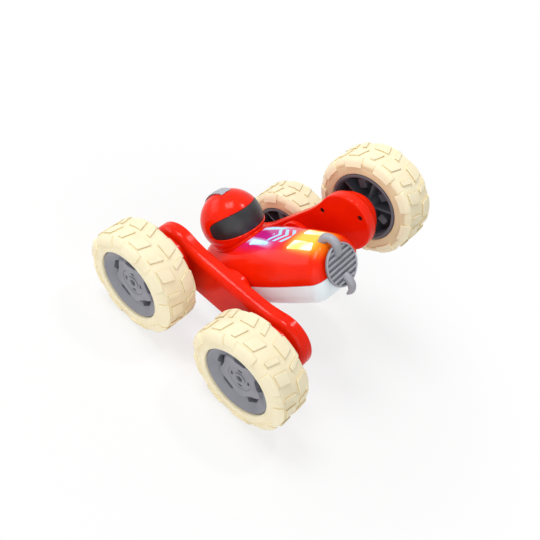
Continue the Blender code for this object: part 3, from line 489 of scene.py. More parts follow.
def join(base, *tools):
    for tool in tools:
        base = combine(base, tool, "UNION")
    return base


def turned(data, angle, axis="Z"):
    data.transform(Matrix.Rotation(angle, 4, axis))
    return data


def add_piece(name, data, place, body, finish, slot, *nodes):
    """A piece that rides on a body, with its own coordinates kept for its material."""
    local = data.attributes.new(LOCAL, "FLOAT_VECTOR", "POINT")
    flat = [value for vert in data.vertices for value in vert.co]
    local.data.foreach_set("vector", flat)
    data.transform(place)
    data.materials.clear()
    data.materials.append(finish)
    data.shade_smooth()
    data.set_sharp_from_angle(angle=SHARP)
    piece = add_object(name, data)
    weighted = piece.modifiers.new("even shading", "WEIGHTED_NORMAL")
    weighted.keep_sharp = True
    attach(piece, body)
    if nodes:
        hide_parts(*nodes)


def add_body_piece(name, data, finish, slot, *nodes):
    add_piece(name, data, BODY_FRAME, "body", finish, slot, *nodes)


# Material helpers

def colour(value):
    return (*value, 1.0) if isinstance(value, tuple) and len(value) == 3 else value


def put(tree, socket, value):
    if isinstance(value, bpy.types.NodeSocket):
        tree.links.new(value, socket)
    else:
        socket.default_value = value


def add_node(tree, kind, inputs=(), **settings):
    node = tree.nodes.new(kind)
    for key, value in settings.items():
        setattr(node, key, value)
    for key, value in dict(inputs).items():
        put(tree, node.inputs[key], value)
    return node


def maths(operation, first, second=0.0, third=0.0):
    """A calculation; this and the helpers below work in the tree of the first socket they are given."""
    inputs = {0: first, 1: second, 2: third}
    return add_node(first.id_data, "ShaderNodeMath", inputs, operation=operation).outputs[0]


def times(first, *others):
    for other in others:
        first = maths("MULTIPLY", first, other)
    return first


def length(vector):
    return add_node(vector.id_data, "ShaderNodeVectorMath", {0: vector}, operation="LENGTH").outputs["Value"]


def spread(value, low, high, to_low=0.0, to_high=1.0):
    """A value carried from one range to another with soft ends."""
    inputs = {"Value": value, "From Min": low, "From Max": high, "To Min": to_low, "To Max": to_high}
    node = add_node(value.id_data, "ShaderNodeMapRange", inputs, interpolation_type="SMOOTHSTEP")
    return node.outputs[0]


def within(value, edges):
    """One between the two inner edges, fading to none at the two outer ones."""
    return times(spread(value, edges[0], edges[1]), spread(value, edges[3], edges[2]))


def tint(share, first, second):
    """Colour between two colours."""
    inputs = {0: share, 6: colour(first), 7: colour(second)}
    return add_node(share.id_data, "ShaderNodeMix", inputs, data_type="RGBA").outputs[2]


class Finish:
    """A material in the making: its tree, shader and coordinates."""

    def __init__(self, name, own=True, **sockets):
        self.material = bpy.data.materials.new(name)
        self.material.use_nodes = True
        self.tree = self.material.node_tree
        self.shader = self.tree.nodes["Principled BSDF"]
        if own:
            source = add_node(self.tree, "ShaderNodeAttribute", attribute_name=LOCAL)
            self.place = source.outputs["Vector"]
        else:
            self.place = add_node(self.tree, "ShaderNodeTexCoord").outputs["Object"]
        for key, value in sockets.items():
            self.set(key.replace("_", " "), value)

    def set(self, socket, value):
        put(self.tree, self.shader.inputs[socket], colour(value))

    def axis(self, word):
        return add_node(self.tree, "ShaderNodeSeparateXYZ", {0: self.place}).outputs[word]

    def noise(self, scale):
        inputs = {"Vector": self.place, "Scale": scale, "Detail": NOISE_DETAIL}
        return add_node(self.tree, "ShaderNodeTexNoise", inputs).outputs[0]

    def drift(self, scale, low=0.0, high=1.0):
        """A value that drifts between two values."""
        return spread(self.noise(scale), *DRIFT_RANGE, low, high)

    def shades(self, tones, scale):
        """A colour that drifts between two tones."""
        return tint(self.drift(scale), *tones)

    def surface(self, base, gloss, gloss_scale, grain_scale, relief):
        """The material, with a base colour, a roughness that drifts and a fine grain."""
        self.set("Base Color", base)
        self.set("Roughness", self.drift(gloss_scale, *gloss))
        return self.grained(grain_scale, relief)

    def grained(self, scale, relief):
        """The material, with a fine grain."""
        inputs = {"Height": self.noise(scale), "Strength": relief, "Distance": GRAIN_DEPTH}
        self.set("Normal", add_node(self.tree, "ShaderNodeBump", inputs).outputs[0])
        return self.material


def moulded(name, tones, gloss, relief=0.04, own=True, **sockets):
    """Injection moulded plastic: slight drift of colour and gloss, and the fine grain of the mould."""
    finish = Finish(name, own, **sockets)
    return finish.surface(finish.shades(tones, TONE_SCALE), gloss, GLOSS_SCALE, MOULD_GRAIN, relief)


def metal(name, tones, gloss):
    """Drawn metal with fine streaks."""
    finish = Finish(name, False, Metallic=1.0)
    return finish.surface(finish.shades(tones, 220.0), gloss, 500.0, 1800.0, 0.06)


def grille_plastic():
    """Grey plastic with painted shade: darker in the grooves of the grille than on its ribs."""
    finish = Finish("grille plastic")
    ahead = times(finish.axis("Y"), -1.0)
    # painted shade: darker grey down in the grooves, paler on the ribs
    groove = spread(ahead, GRILLE_FRONT - 0.25 * MM, GRILLE_FRONT - GRILLE_RECESS)
    base = tint(groove, finish.shades(NOSE_TONES, TONE_SCALE), (0.18, 0.18, 0.21))
    return finish.surface(base, (0.34, 0.44), GLOSS_SCALE, FINE_GRAIN, 0.08)


def visor_plastic():
    finish = Finish("dark visor plastic", Specular_IOR_Level=0.28)
    base = finish.shades(((0.024, 0.025, 0.028), (0.036, 0.037, 0.042)), 80.0)
    return finish.surface(base, (0.28, 0.38), 90.0, 900.0, 0.02)


def cream_rubber(word, inner_side):
    """Cream rubber with painted shade: darker on the walls of the tread blocks, and tan on the sidewall that
    faces the car.
    """
    finish = Finish(f"cream rubber {word}", Specular_IOR_Level=0.3)
    inputs = {0: finish.place, 1: (1.0, 1.0, 0.0)}
    radius = length(add_node(finish.tree, "ShaderNodeVectorMath", inputs, operation="MULTIPLY").outputs[0])
    across = finish.axis("Z")
    top = WHEEL_RADIUS - BLOCK_EDGE
    edges = (TREAD_FLOOR, TREAD_FLOOR + 0.15 * MM, top - 0.1 * MM, top + 0.1 * MM)
    tread = spread(maths("ABSOLUTE", across), 8.5 * MM, 8.35 * MM)
    # painted shade on the walls of the tread blocks
    walls = times(within(radius, edges), tread, 0.75)
    clean = finish.shades(((0.93, 0.84, 0.60), (0.90, 0.80, 0.555)), 70.0)
    wall_shaded_rubber = tint(walls, clean, (0.58, 0.46, 0.25))
    # painted shade: tan on the sidewall that faces the car, inside about 28 mm
    edges = (10.6 * MM, 11.0 * MM, 11.95 * MM, 12.15 * MM)
    inner = within(times(across, inner_side), edges)
    inner = times(inner, spread(radius, 28.8 * MM, 28.0 * MM), 0.8)
    return finish.surface(tint(inner, wall_shaded_rubber, (0.76, 0.61, 0.36)), (0.52, 0.66), 160.0, 2200.0, 0.14)


def window_plastic(name, tones, power):
    finish = Finish(name, Roughness=0.16, Emission_Strength=power)
    shades = finish.shades(tones, 90.0)
    finish.set("Base Color", shades)
    finish.set("Emission Color", shades)
    return finish.grained(700.0, 0.05)


def deck_plastic():
    """Red deck with a painted glow in its colour and emission: purple by the helmet, orange and yellow at the
    nose, a pale blue streak of painted light, and pale chevron bars between, which glow too.
    """
    finish = Finish("glowing red deck", Specular_IOR_Level=0.15)
    side = maths("ABSOLUTE", finish.axis("X"))
    ahead = times(finish.axis("Y"), -1.0)
    top = spread(finish.axis("Z"), 8.0 * MM, 14.0 * MM)

    def area(factor, across, widths, lengths):
        """A factor within an area of the deck, fading out round it."""
        sides = spread(across, widths[1] * MM, widths[0] * MM)
        return times(sides, within(ahead, [value * MM for value in lengths]), factor)

    # painted glow: purple by the helmet, orange and yellow at the nose, only on the top of the deck
    violet_glow = area(top, side, (6.0, 18.0), (-14.0, 2.0, 16.0, 32.0))
    orange_glow = area(top, side, (5.0, 15.0), (26.0, 40.0, 52.0, 60.0))
    gold_glow = area(top, side, (7.0, 13.0), (29.0, 38.0, 46.0, 54.0))
    # a pale blue streak of painted light
    line = maths("SUBTRACT", side, maths("MULTIPLY_ADD", ahead, 0.16, 6.2 * MM))
    streak = area(top, maths("ABSOLUTE", line), (0.4, 3.6), (-12.0, 2.0, 12.0, 24.0))
    lean = maths("MULTIPLY_ADD", side, 0.8, ahead)
    wave = maths("FRACT", maths("DIVIDE", lean, 5.4 * MM))
    # chevron bars: a printed pattern
    bars = area(within(wave, (0.42, 0.50, 0.90, 0.98)), side, (6.2, 6.8), (14.6, 15.2, 29.4, 30.0))

    # the glow patches and the streak are painted light in the base colour
    base = finish.shades(RED_TONES, TONE_SCALE)
    layers = ((violet_glow, 0.85, (0.42, 0.012, 0.26)), (orange_glow, 0.8, (0.95, 0.26, 0.006)),
              (gold_glow, 0.7, (1.0, 0.62, 0.06)), (streak, 0.8, (0.50, 0.72, 1.0)),
              (bars, 0.9, (0.30, 0.66, 0.95)))
    for share, cover, tone in layers:
        base = tint(times(share, cover), base, tone)
    # painted glow: emission over the glow patches, the light streak and the printed bars
    power = 0.0
    pale = maths("MAXIMUM", streak, bars)
    for share, strength in ((violet_glow, 0.20), (orange_glow, 0.20), (pale, 0.16), (gold_glow, 0.15)):
        power = maths("MULTIPLY_ADD", share, strength, power)
    finish.set("Emission Color", base)
    finish.set("Emission Strength", power)
    return finish.surface(base, (0.15, 0.20), GLOSS_SCALE, FINE_GRAIN, 0.02)


def circuit_plastic():
    """Solder mask with rows of pale pads."""
    finish = Finish("circuit board", False, Roughness=0.38)
    inputs = {"Vector": finish.place, "Scale": 260.0, "Mortar Size": 0.03, "Mortar": (0.32, 0.42, 0.20, 1.0),
              "Color1": (0.015, 0.14, 0.05, 1.0), "Color2": (0.02, 0.19, 0.07, 1.0)}
    finish.set("Base Color", add_node(finish.tree, "ShaderNodeTexBrick", inputs).outputs[0])
    return finish.grained(900.0, 0.05)


def battery_film():
    """Shrink film with a pale band every few millimetres."""
    finish = Finish("battery film", False)
    inputs = {"Vector": finish.place, "Scale": 18.0, "Distortion": 0.4}
    wave = add_node(finish.tree, "ShaderNodeTexWave", inputs).outputs[1]
    base = tint(spread(wave, 0.86, 0.92), (0.05, 0.12, 0.45), (0.55, 0.60, 0.75))
    return finish.surface(base, (0.26, 0.36), 200.0, 600.0, 0.05)


def lamp_resin():
    finish = Finish("clear lamp resin", False, Transmission_Weight=0.5, IOR=1.5)
    finish.set("Base Color", finish.shades(((0.86, 0.91, 0.95), (0.80, 0.86, 0.92)), 300.0))
    finish.set("Roughness", finish.drift(300.0, 0.08, 0.14))
    return finish.material


# Wheels

def on_tyre(radius, run, across):
    angle = run / WHEEL_RADIUS
    return (radius * cos(angle), radius * sin(angle), across)


def run_shares(length_round):
    """Shares of a block's length with a drop at both ends, so its ends are bevelled."""
    edge = BLOCK_EDGE / length_round
    count = max(2, round(length_round / BLOCK_STEP))
    middle = [(edge + (1.0 - 2 * edge) * step / count, 0.0) for step in range(count + 1)]
    return [(0.0, BLOCK_EDGE)] + middle + [(1.0, BLOCK_EDGE)]


def tread_block(near, far, start, end, slant):
    """Raised block between two widths and two runs round the tyre; its far edge is shifted by the slant."""
    rings = []
    for share, drop in run_shares(end - start):
        crown = ((near, TREAD_ROOT, 0.0), (near, WHEEL_RADIUS, BLOCK_EDGE),
                 (near + BLOCK_EDGE, WHEEL_RADIUS, drop), (far - BLOCK_EDGE, WHEEL_RADIUS, drop),
                 (far, WHEEL_RADIUS, BLOCK_EDGE), (far, TREAD_ROOT, 0.0))
        ring = []
        for across, radius, fall in crown:
            run = start + (end - start) * share + slant * (across - near) / (far - near)
            shoulder = max(0.0, abs(across) - SHOULDER_START)
            ring.append(on_tyre(radius - fall - SHOULDER_FALL * shoulder, run, across))
        rings.append(ring)
    return loft(rings)


def shoulder_lug(side, lowest, start, end, height):
    """Low pad that wraps from the tread onto the sidewall."""
    line = [Vector((r * MM, z * MM)) for r, z in TYRE_HALF[lowest:LUG_TOP + 1]]
    last = len(line) - 1
    rings = []
    for share, drop in run_shares(end - start):
        run = start + (end - start) * share
        outer, inner = [], []
        for here, point in enumerate(line):
            along = (line[min(here + 1, last)] - line[max(here - 1, 0)]).normalized()
            normal = Vector((-along.y, along.x))
            if normal.dot(point) < 0.0:
                normal = -normal
            lift = 0.0 if here == last else height - LUG_BEVEL * drop
            outer.append(point + normal * lift)
            inner.append(point - normal * LUG_ROOT)
        rings.append([on_tyre(p.x, run, side * p.y) for p in outer + inner[::-1]])
    return loft(rings)


def tyre_mesh():
    """Tyre about its own axis; widths run along Z to the right of the car."""
    half = [(r * MM, z * MM) for r, z in TYRE_HALF]
    base = lathe(half + [(r, -z) for r, z in reversed(half)], WHEEL_STEPS)
    pitch = tau * WHEEL_RADIUS / PITCHES
    blocks, lugs = [], []
    for number in range(PITCHES):
        turn = number * pitch
        for near, far, start, end, slant in BLOCKS:
            blocks.append(tread_block(near * MM, far * MM, start * MM + turn, end * MM + turn, slant * MM))
        for side, shift in LUG_SHIFTS.items():
            for lowest, start, end, height in LUGS:
                run = ((start + shift) * MM + turn, (end + shift) * MM + turn)
                lugs.append(shoulder_lug(side, lowest, *run, height * MM))
    return join(base, merged(lugs), merged(blocks))


def add_tyres():
    mould = tyre_mesh()
    rubbers = {"left": cream_rubber("left", 1.0), "right": cream_rubber("right", -1.0)}
    level = Vector((0.0, 1.0, 0.0))
    for wheel, phase in TYRE_PHASES.items():
        place = axes_frame(level.cross(AXIS), level, AXIS, place_of(wheel))
        data = turned(mould.copy(), radians(phase))
        add_piece(f"{wheel}_tyre_rubber", data, place, f"wheel_{wheel}", rubbers[wheel.split("_")[1]],
                  "cream_rubber", f"{wheel}_tyre")
    bpy.data.meshes.remove(mould)


def rim_mesh():
    """Barrel with a web and a hub, open towards the car, with ribs and blocks by turns behind the web."""
    barrel = RIM_RADIUS - RIM_LIP
    ledge = barrel + RIM_ROUND
    seat = CAP_OUTER_EDGE - CAP_FLANGE - GAP
    bore = AXLE_RADIUS + GAP
    web_high = DISH_HEIGHT - CAP_SKIN - GAP
    web_low = web_high - RIM_WEB
    mouth = -RIM_INNER_EDGE
    step = mouth + RIM_LEDGE
    hub_end = mouth + HUB_SETBACK
    outline = ((RIM_RADIUS, seat, 0.0), (RIM_RADIUS, mouth, RIM_ROUND), (ledge, mouth, RIM_ROUND),
               (ledge, step, FINE_EDGE), (barrel, step, FINE_EDGE), (barrel, web_low, 0.8 * MM),
               (HUB_RADIUS, web_low, 0.8 * MM), (HUB_RADIUS, hub_end, 0.4 * MM), (bore, hub_end, 0.2 * MM),
               (bore, web_high, 0.0), (barrel, web_high, 0.0), (barrel, seat, 0.0))
    rim = lathe(rounded(outline, RIM_ARC), WHEEL_STEPS)
    ribs = []
    for number in range(RIM_RIBS):
        if number % 2 == 0:
            reach = (HUB_RADIUS - RIB_ROOT, barrel + RIB_ROOT)
            half, setback, edge = RIB_HALF_WIDTH, RIB_SETBACK, 0.25 * MM
        else:
            reach = RIM_BLOCK_REACH
            half, setback, edge = RIM_BLOCK_HALF_WIDTH, RIM_BLOCK_SETBACK, 0.6 * MM
        rib = box((reach[0], -half, mouth + setback), (reach[1], half, web_low + RIB_ROOT), edge)
        ribs.append(turned(rib, tau * (number + 0.5) / RIM_RIBS))
    return join(rim, merged(ribs))


def plateau_ring(outset, height):
    point = PLATEAU_POINT + outset / cos(pi / SPOKES)
    angles = [tau * (number + 0.5) / SPOKES for number in range(SPOKES)]
    corners = [(point * cos(angle), point * sin(angle), PLATEAU_CORNER) for angle in angles]
    return [(x, y, height) for x, y in rounded(corners, PLATEAU_ARC)]


def slots(count, reach, size, low):
    """Cutters for openings with rounded corners, evenly spaced round the wheel."""
    half_depth, half_width, corner = size
    corners = [(reach + deep * half_depth, wide * half_width, corner)
               for deep, wide in ((-1, -1), (1, -1), (1, 1), (-1, 1))]
    outline = rounded(corners, SLOT_ARC)
    turns = [tau * number / count for number in range(count)]
    return [turned(prism(outline, low, 2 * CAP_OUTER_EDGE), turn) for turn in turns]


def cap_mesh():
    """Wheel cap: a bowl with a raised five cornered plateau, vents beside it and a hub with snap slots."""
    flange = CAP_OUTER_EDGE - CAP_FLANGE
    inside = RIM_RADIUS - RIM_LIP - GAP
    low = DISH_HEIGHT - CAP_SKIN
    outline = ((RIM_RADIUS, CAP_OUTER_EDGE, 0.5 * MM), (RIM_RADIUS, flange, FINE_EDGE), (inside, flange, 0.0),
               (DISH_RADIUS, low, 0.5 * MM), (HUB_RADIUS, low, 0.0), (HUB_RADIUS, BOWL_HEIGHT, 0.0),
               (BOWL_RADIUS, BOWL_HEIGHT, 2.0 * MM), (RIM_RADIUS - 0.9 * MM, CAP_OUTER_EDGE, 0.35 * MM))
    cap = lathe(rounded(outline, ARC), WHEEL_STEPS)
    edge = PLATEAU_EDGE
    rings = [plateau_ring(PLATEAU_SKIRT, low + 0.4 * MM), plateau_ring(PLATEAU_SKIRT, BOWL_HEIGHT)]
    for across, up in quarter(EDGE_ARC):
        rings.append(plateau_ring(edge * (across - 1.0), PLATEAU_HEIGHT - edge + edge * up))
    cap = join(cap, loft(rings))
    floor = PLATEAU_HEIGHT - HUB_RECESS_DEPTH
    cap = cut(cap, spindle(((HUB_RECESS - 0.5 * MM, floor), (HUB_RECESS, floor + 0.5 * MM),
                            (HUB_RECESS + 0.3 * MM, PLATEAU_HEIGHT + 0.5 * MM)), WHEEL_STEPS))
    cap = join(cap, spindle(((HUB_BOSS, floor - 0.5 * MM), (HUB_BOSS, PLATEAU_HEIGHT - 0.2 * MM),
                             (HUB_BOSS - 0.4 * MM, PLATEAU_HEIGHT + 0.1 * MM)), HUB_STEPS))
    bore = AXLE_RADIUS + GAP
    holes = [spindle(((bore, 0.0), (bore, PLATEAU_HEIGHT - 0.6 * MM),
                      (bore + 0.7 * MM, PLATEAU_HEIGHT + 0.4 * MM)), BORE_STEPS)]
    holes += slots(SPOKES, VENT_CIRCLE, VENT_SIZE, 0.0)
    holes += slots(SLOTS, SLOT_CIRCLE, SLOT_SIZE, floor - SLOT_DEPTH)
    return turned(cut(cap, merged(holes)), CAP_TURN)


def axle_mesh(wheel):
    """Axle from the inside of the arm to just under the cap's hub, with bevelled ends."""
    start = ARM_INNER_FACE + WALL + GAP - abs((place_of(wheel) - PIVOT).dot(AXIS))
    end = PLATEAU_HEIGHT - AXLE_SETBACK
    return spindle(((AXLE_RADIUS - FINE_EDGE, start), (AXLE_RADIUS, start + FINE_EDGE),
                    (AXLE_RADIUS, end - FINE_EDGE), (AXLE_RADIUS - FINE_EDGE, end)), PIN_STEPS)


def add_wheels(charcoal, grey, steel):
    rim, cap = rim_mesh(), cap_mesh()
    for wheel in TYRE_PHASES:
        pieces = (("rim_moulding", rim.copy(), charcoal, "charcoal_plastic", "rim"),
                  ("cap_moulding", cap.copy(), grey, "grey_plastic", "cap"),
                  ("axle_pin", axle_mesh(wheel), steel, "steel", "axle"))
        place = wheel_frame(wheel)
        for name, data, finish, slot, node in pieces:
            add_piece(f"{wheel}_{name}", data, place, f"wheel_{wheel}", finish, slot, f"{wheel}_{node}")
    bpy.data.meshes.remove(rim)
    bpy.data.meshes.remove(cap)


# Swing arms

def dogbone(inset, height):
    """Ring of an arm's outline drawn in by an inset: round ends, hollow necks, straight waist."""
    end = ARM_END_RADIUS - inset
    waist = ARM_WAIST - inset
    neck = ARM_NECK + inset
    spread_angle = acos((waist + neck) / (end + neck))
    neck_y = AXLE_OFFSET - (end + neck) * sin(spread_angle)
    part = []
    for step in range(NECK_STEPS):
        angle = spread_angle * step / NECK_STEPS
        part.append((waist + neck - neck * cos(angle), neck_y + neck * sin(angle)))
    for step in range(END_STEPS + 1):
        angle = -spread_angle + (pi / 2 + spread_angle) * step / END_STEPS
        part.append((end * cos(angle), AXLE_OFFSET + end * sin(angle)))
    ring = part + [(-x, y) for x, y in part[-2::-1]]
    ring += [(-x, -y) for x, y in part] + [(x, -y) for x, y in part[-2::-1]]
    return [(x, y, height) for x, y in ring]


def edge_rings(face, radius, direction):
    """Rings that round an arm's edge, from its face to its side."""
    return [dogbone(radius * (1.0 - up), face + direction * radius * (1.0 - across))
            for across, up in quarter(ARM_ARC)]


def screw_spots():
    """Names and places of an arm's screws: beside its middle, along it."""
    spots = {}
    for end, where in ((-1, "front"), (1, "rear")):
        for number, (along, up) in enumerate(SCREW_PLACES):
            spots[f"{where}_screw_{number + 1}"] = (end * up, end * (AXLE_OFFSET + along))
    return spots


def arm_inner_mesh():
    rim = ARM_SPLIT - ARM_SEAM / 2
    rings = edge_rings(ARM_INNER_FACE, ARM_EDGE, 1.0)
    rings += [dogbone(0.0, rim - ARM_SEAM), dogbone(ARM_SEAM, rim), dogbone(WALL, rim),
              dogbone(WALL, ARM_INNER_FACE + WALL)]
    holes = [spindle(((SLEEVE_BORE, 0.0), (SLEEVE_BORE, ARM_SPLIT)), BORE_STEPS)]
    bore = SCREW_HEAD + SCREW_GAP
    recess = ((bore + 0.7 * MM, ARM_INNER_FACE - 0.5 * MM), (bore, ARM_INNER_FACE + 0.2 * MM),
              (bore, ARM_INNER_FACE + SCREW_DEPTH + SCREW_THICKNESS))
    holes += [spindle(recess, PIN_STEPS, centre) for centre in screw_spots().values()]
    return cut(loft(rings), merged(holes))


def arm_outer_mesh():
    rim = ARM_SPLIT + ARM_SEAM / 2
    rings = [dogbone(2 * WALL, ARM_OUTER_FACE - WALL), dogbone(WALL, ARM_OUTER_FACE - 2 * WALL),
             dogbone(WALL, rim), dogbone(ARM_SEAM, rim), dogbone(0.0, rim + ARM_SEAM)]
    rings += edge_rings(ARM_OUTER_FACE, ARM_OUTER_EDGE, -1.0)[::-1]
    shell = loft(rings)
    edge = BOSS_EDGE
    boss = ((BOSS_STEP_RADIUS, ARM_OUTER_FACE - WALL / 2), (BOSS_STEP_RADIUS, BOSS_STEP_FACE - edge),
            (BOSS_STEP_RADIUS - edge, BOSS_STEP_FACE), (BOSS_RADIUS + edge, BOSS_STEP_FACE),
            (BOSS_RADIUS, BOSS_STEP_FACE + edge), (BOSS_RADIUS, BOSS_FACE - edge),
            (BOSS_RADIUS - edge, BOSS_FACE))
    bore = BUSH_RADIUS + GAP
    for end in (-1, 1):
        centre = (0.0, end * AXLE_OFFSET)
        shell = join(shell, spindle(boss, RING_STEPS, centre))
        hole = spindle(((bore, ARM_INNER_FACE), (bore, BOSS_FACE + 1.0 * MM)), BUSH_STEPS, centre)
        shell = cut(shell, hole)
    return shell


def screw_mesh():
    """Pan head with a crossed slot, its top towards -Z."""
    crown = [(SCREW_HEAD * share, height * MM) for share, height in SCREW_CROWN]
    head = spindle(crown + [(SCREW_HEAD, SCREW_THICKNESS)], PIN_STEPS)
    half_length, half_width, floor = SCREW_SLOT
    for angle in (0.0, pi / 2):
        slot = box((-half_length, -half_width, -1.0 * MM), (half_length, half_width, floor))
        head = cut(head, turned(slot, angle + SCREW_TURN))
    return head


def sleeve_mesh():
    """Pivot sleeve: a collar between body and arm, and a flange inside the body."""
    flange = SLEEVE_RADIUS + SLEEVE_FLANGE
    inside = SLEEVE_INNER_END + SLEEVE_FLANGE
    low = BODY_HALF_WIDTH + 2 * GAP
    high = ARM_INNER_FACE - GAP
    outline = ((COLLAR_RADIUS, high, FINE_EDGE), (COLLAR_RADIUS, low, 0.9 * MM), (SLEEVE_RADIUS, low, 0.0),
               (SLEEVE_RADIUS, inside, 0.0), (flange, inside, FINE_EDGE),
               (flange, SLEEVE_INNER_END, FINE_EDGE), (SLEEVE_BORE, SLEEVE_INNER_END, FINE_EDGE),
               (SLEEVE_BORE, high, 0.0))
    return lathe(rounded(outline, ARC), RING_STEPS)


def add_arms(red, steel):
    for word in ("left", "right"):
        place, body = arm_frame(word), f"arm_{word}"
        pieces = ((f"{body}_inner_moulding", arm_inner_mesh(), f"{body}_inner_shell"),
                  (f"{body}_outer_moulding", arm_outer_mesh(), f"{body}_outer_shell"),
                  (f"pivot_{word}_collar", sleeve_mesh(), f"pivot_sleeve_{word}"))
        for name, data, node in pieces:
            add_piece(name, data, place, body, red, "red_plastic", node)
        for name, spot in screw_spots().items():
            seat = place @ Matrix.Translation((*spot, ARM_INNER_FACE + SCREW_DEPTH))
            add_piece(f"{body}_{name}", screw_mesh(), seat, body, steel, "steel")


# Body

def tapered(middle, nose_drop, tail_drop, ahead):
    """A width or height that falls off towards the nose and the tail."""
    drop, reach = (nose_drop, NOSE_REACH) if ahead > 0 else (tail_drop, TAIL_REACH)
    return middle - drop * (ahead / reach) ** 2


side_width = functools.partial(tapered, BODY_HALF_WIDTH, NOSE_NARROWING, TAIL_NARROWING)
deck_height = functools.partial(tapered, BODY_HEIGHT, NOSE_FALL, TAIL_FALL)
belly_height = functools.partial(tapered, -BODY_DEPTH, 0.0, 0.0)

# Shells: roundness, height along the car, how far the ends are drawn in, height of the split
UPPER = (UPPER_ROUNDNESS, deck_height, DECK_END_ROUND, GAP / 2)
LOWER = (LOWER_ROUNDNESS, belly_height, BELLY_END_ROUND, -GAP / 2)


def section(roundness):
    """Quarter section of a shell as (lateral, rise) shares, evenly bowed."""
    power = 2 / roundness
    points = [(across ** power, up ** power) for across, up in quarter(SECTION_STEPS)]
    return points[:-1] + [(0.0, 1.0)]


def split_outline():
    """Right half of the split line from nose to tail, as (lateral, forward) pairs."""
    nose_wide, nose_long = NOSE_CORNER
    tail_wide, tail_long = TAIL_CORNER
    nose_start = NOSE_REACH - END_BOW - nose_long
    tail_start = TAIL_REACH - END_BOW - tail_long
    nose_inner = side_width(nose_start) - nose_wide
    tail_inner = side_width(-tail_start) - tail_wide
    turns = quarter(CORNER_STEPS)
    points = [(0.0, NOSE_REACH), (nose_inner / 2, NOSE_REACH - END_BOW / 3)]
    points += [(nose_inner + nose_wide * wide, nose_start + nose_long * ahead) for ahead, wide in turns]
    for step in range(1, SIDE_STEPS):
        ahead = nose_start - (nose_start + tail_start) * step / SIDE_STEPS
        points.append((side_width(ahead), ahead))
    for back, wide in reversed(turns):
        points.append((tail_inner + tail_wide * wide, -tail_start - tail_long * back))
    return points + [(tail_inner / 2, -TAIL_REACH + END_BOW / 3), (0.0, -TAIL_REACH)]


def dome_rows(roundness, height_at, end_round, base, grow):
    """Rows of points over the split outline; the last row lies on the middle plane."""
    rows = []
    outline = split_outline()
    for lateral, rise in section(roundness):
        drawn_in = end_round * (1.0 - sqrt(1.0 - rise * rise))
        row = []
        for x, ahead in outline:
            reach = NOSE_REACH if ahead > 0 else TAIL_REACH
            along = ahead * (1.0 + (grow - drawn_in) / reach)
            height = height_at(along)
            lift = base + (height + grow * copysign(1.0, height) - base) * rise
            row.append((x * lateral * (1.0 + grow / BODY_HALF_WIDTH), -along, lift))
        rows.append(row)
    return rows


def dome_skin(shape, rows):
    """One skin of a shell, both halves; gives back its lowest loop of points."""
    loops = []
    for row in rows[:-1]:
        right = [shape.verts.new(point) for point in row]
        left = [shape.verts.new((-x, y, z)) for x, y, z in row[1:-1]]
        loops.append((right, [right[0]] + left + [right[-1]]))
    spine = [shape.verts.new(point) for point in rows[-1]]
    loops.append((spine, spine))
    for (right_low, left_low), (right_high, left_high) in zip(loops, loops[1:]):
        for here in range(len(spine) - 1):
            after = here + 1
            shape.faces.new((right_low[here], right_low[after], right_high[after], right_high[here]))
            shape.faces.new((left_low[here], left_high[here], left_high[after], left_low[after]))
    right, left = loops[0]
    return left + right[-2:0:-1]


def shell_mesh(*shape_of):
    """Hollow half of the body: outer and inner skin joined along the split line."""
    shape = bmesh.new()
    outer = dome_skin(shape, dome_rows(*shape_of, 0.0))
    inner = dome_skin(shape, dome_rows(*shape_of, -WALL))
    skin(shape, [outer, inner])
    return to_mesh(shape)


def solid_dome(*shape_of, grow=0.0):
    shape = bmesh.new()
    shape.faces.new(dome_skin(shape, dome_rows(*shape_of, grow)))
    return to_mesh(shape)


def sleeve_bore():
    radius = SLEEVE_RADIUS + GAP
    bore = spindle(((radius, -2 * BODY_HALF_WIDTH), (radius, 2 * BODY_HALF_WIDTH)), HUB_STEPS)
    return turned(bore, pi / 2, "Y")


def window_prism(corners, side, inset, corner_radius):
    middle_x = sum(x for x, _ in corners) / len(corners)
    middle_y = sum(y for _, y in corners) / len(corners)
    outline = []
    for x, ahead in corners:
        x += copysign(inset, middle_x - x)
        ahead += copysign(inset, middle_y - ahead)
        outline.append((side * x * MM, -ahead * MM, corner_radius * MM))
    return prism(rounded(outline, ARC), WINDOW_LOW, WINDOW_HIGH)


def cover_box(gap):
    """The battery cover's place in the belly, drawn in by a gap."""
    half = COVER_HALF_WIDTH - gap
    return box((-half, -COVER_FRONT + gap, BELOW), (half, -COVER_BACK - gap, -WALL))


def add_body_shells(deck, white, amber, blue):
    upper = cut(shell_mesh(*UPPER), sleeve_bore(), horn_mesh("upper", GAP))
    windows = (("front", FRONT_WINDOW, amber, "amber_window"), ("rear", REAR_WINDOW, blue, "blue_window"))
    for place, corners, glow, slot in windows:
        for word, side in (("left", -1), ("right", 1)):
            upper = cut(upper, window_prism(corners, side, 0.0, WINDOW_CORNER))
            glass = window_prism(corners, side, PANE_INSET, PANE_CORNER)
            pane = combine(shell_mesh(*UPPER), glass, "INTERSECT")
            add_body_piece(f"window_{place}_{word}_pane", pane, glow, slot, f"light_window_{place}_{word}")
    slit = box((-SLIT_HALF_WIDTH, SLIT_FRONT, BELOW), (SLIT_HALF_WIDTH, SLIT_BACK, SLIT_TOP))
    lower = cut(shell_mesh(*LOWER), sleeve_bore(), cover_box(0.0), slit)
    cover = combine(shell_mesh(*LOWER), cover_box(GAP), "INTERSECT")
    add_body_piece("battery_cover_panel", cover, white, "white_plastic", "battery_cover")
    add_body_piece("body_upper_moulding", upper, deck, "red_plastic", "body_upper_shell")
    add_body_piece("body_lower_moulding", lower, white, "white_plastic", "body_lower_shell")


# Helmet

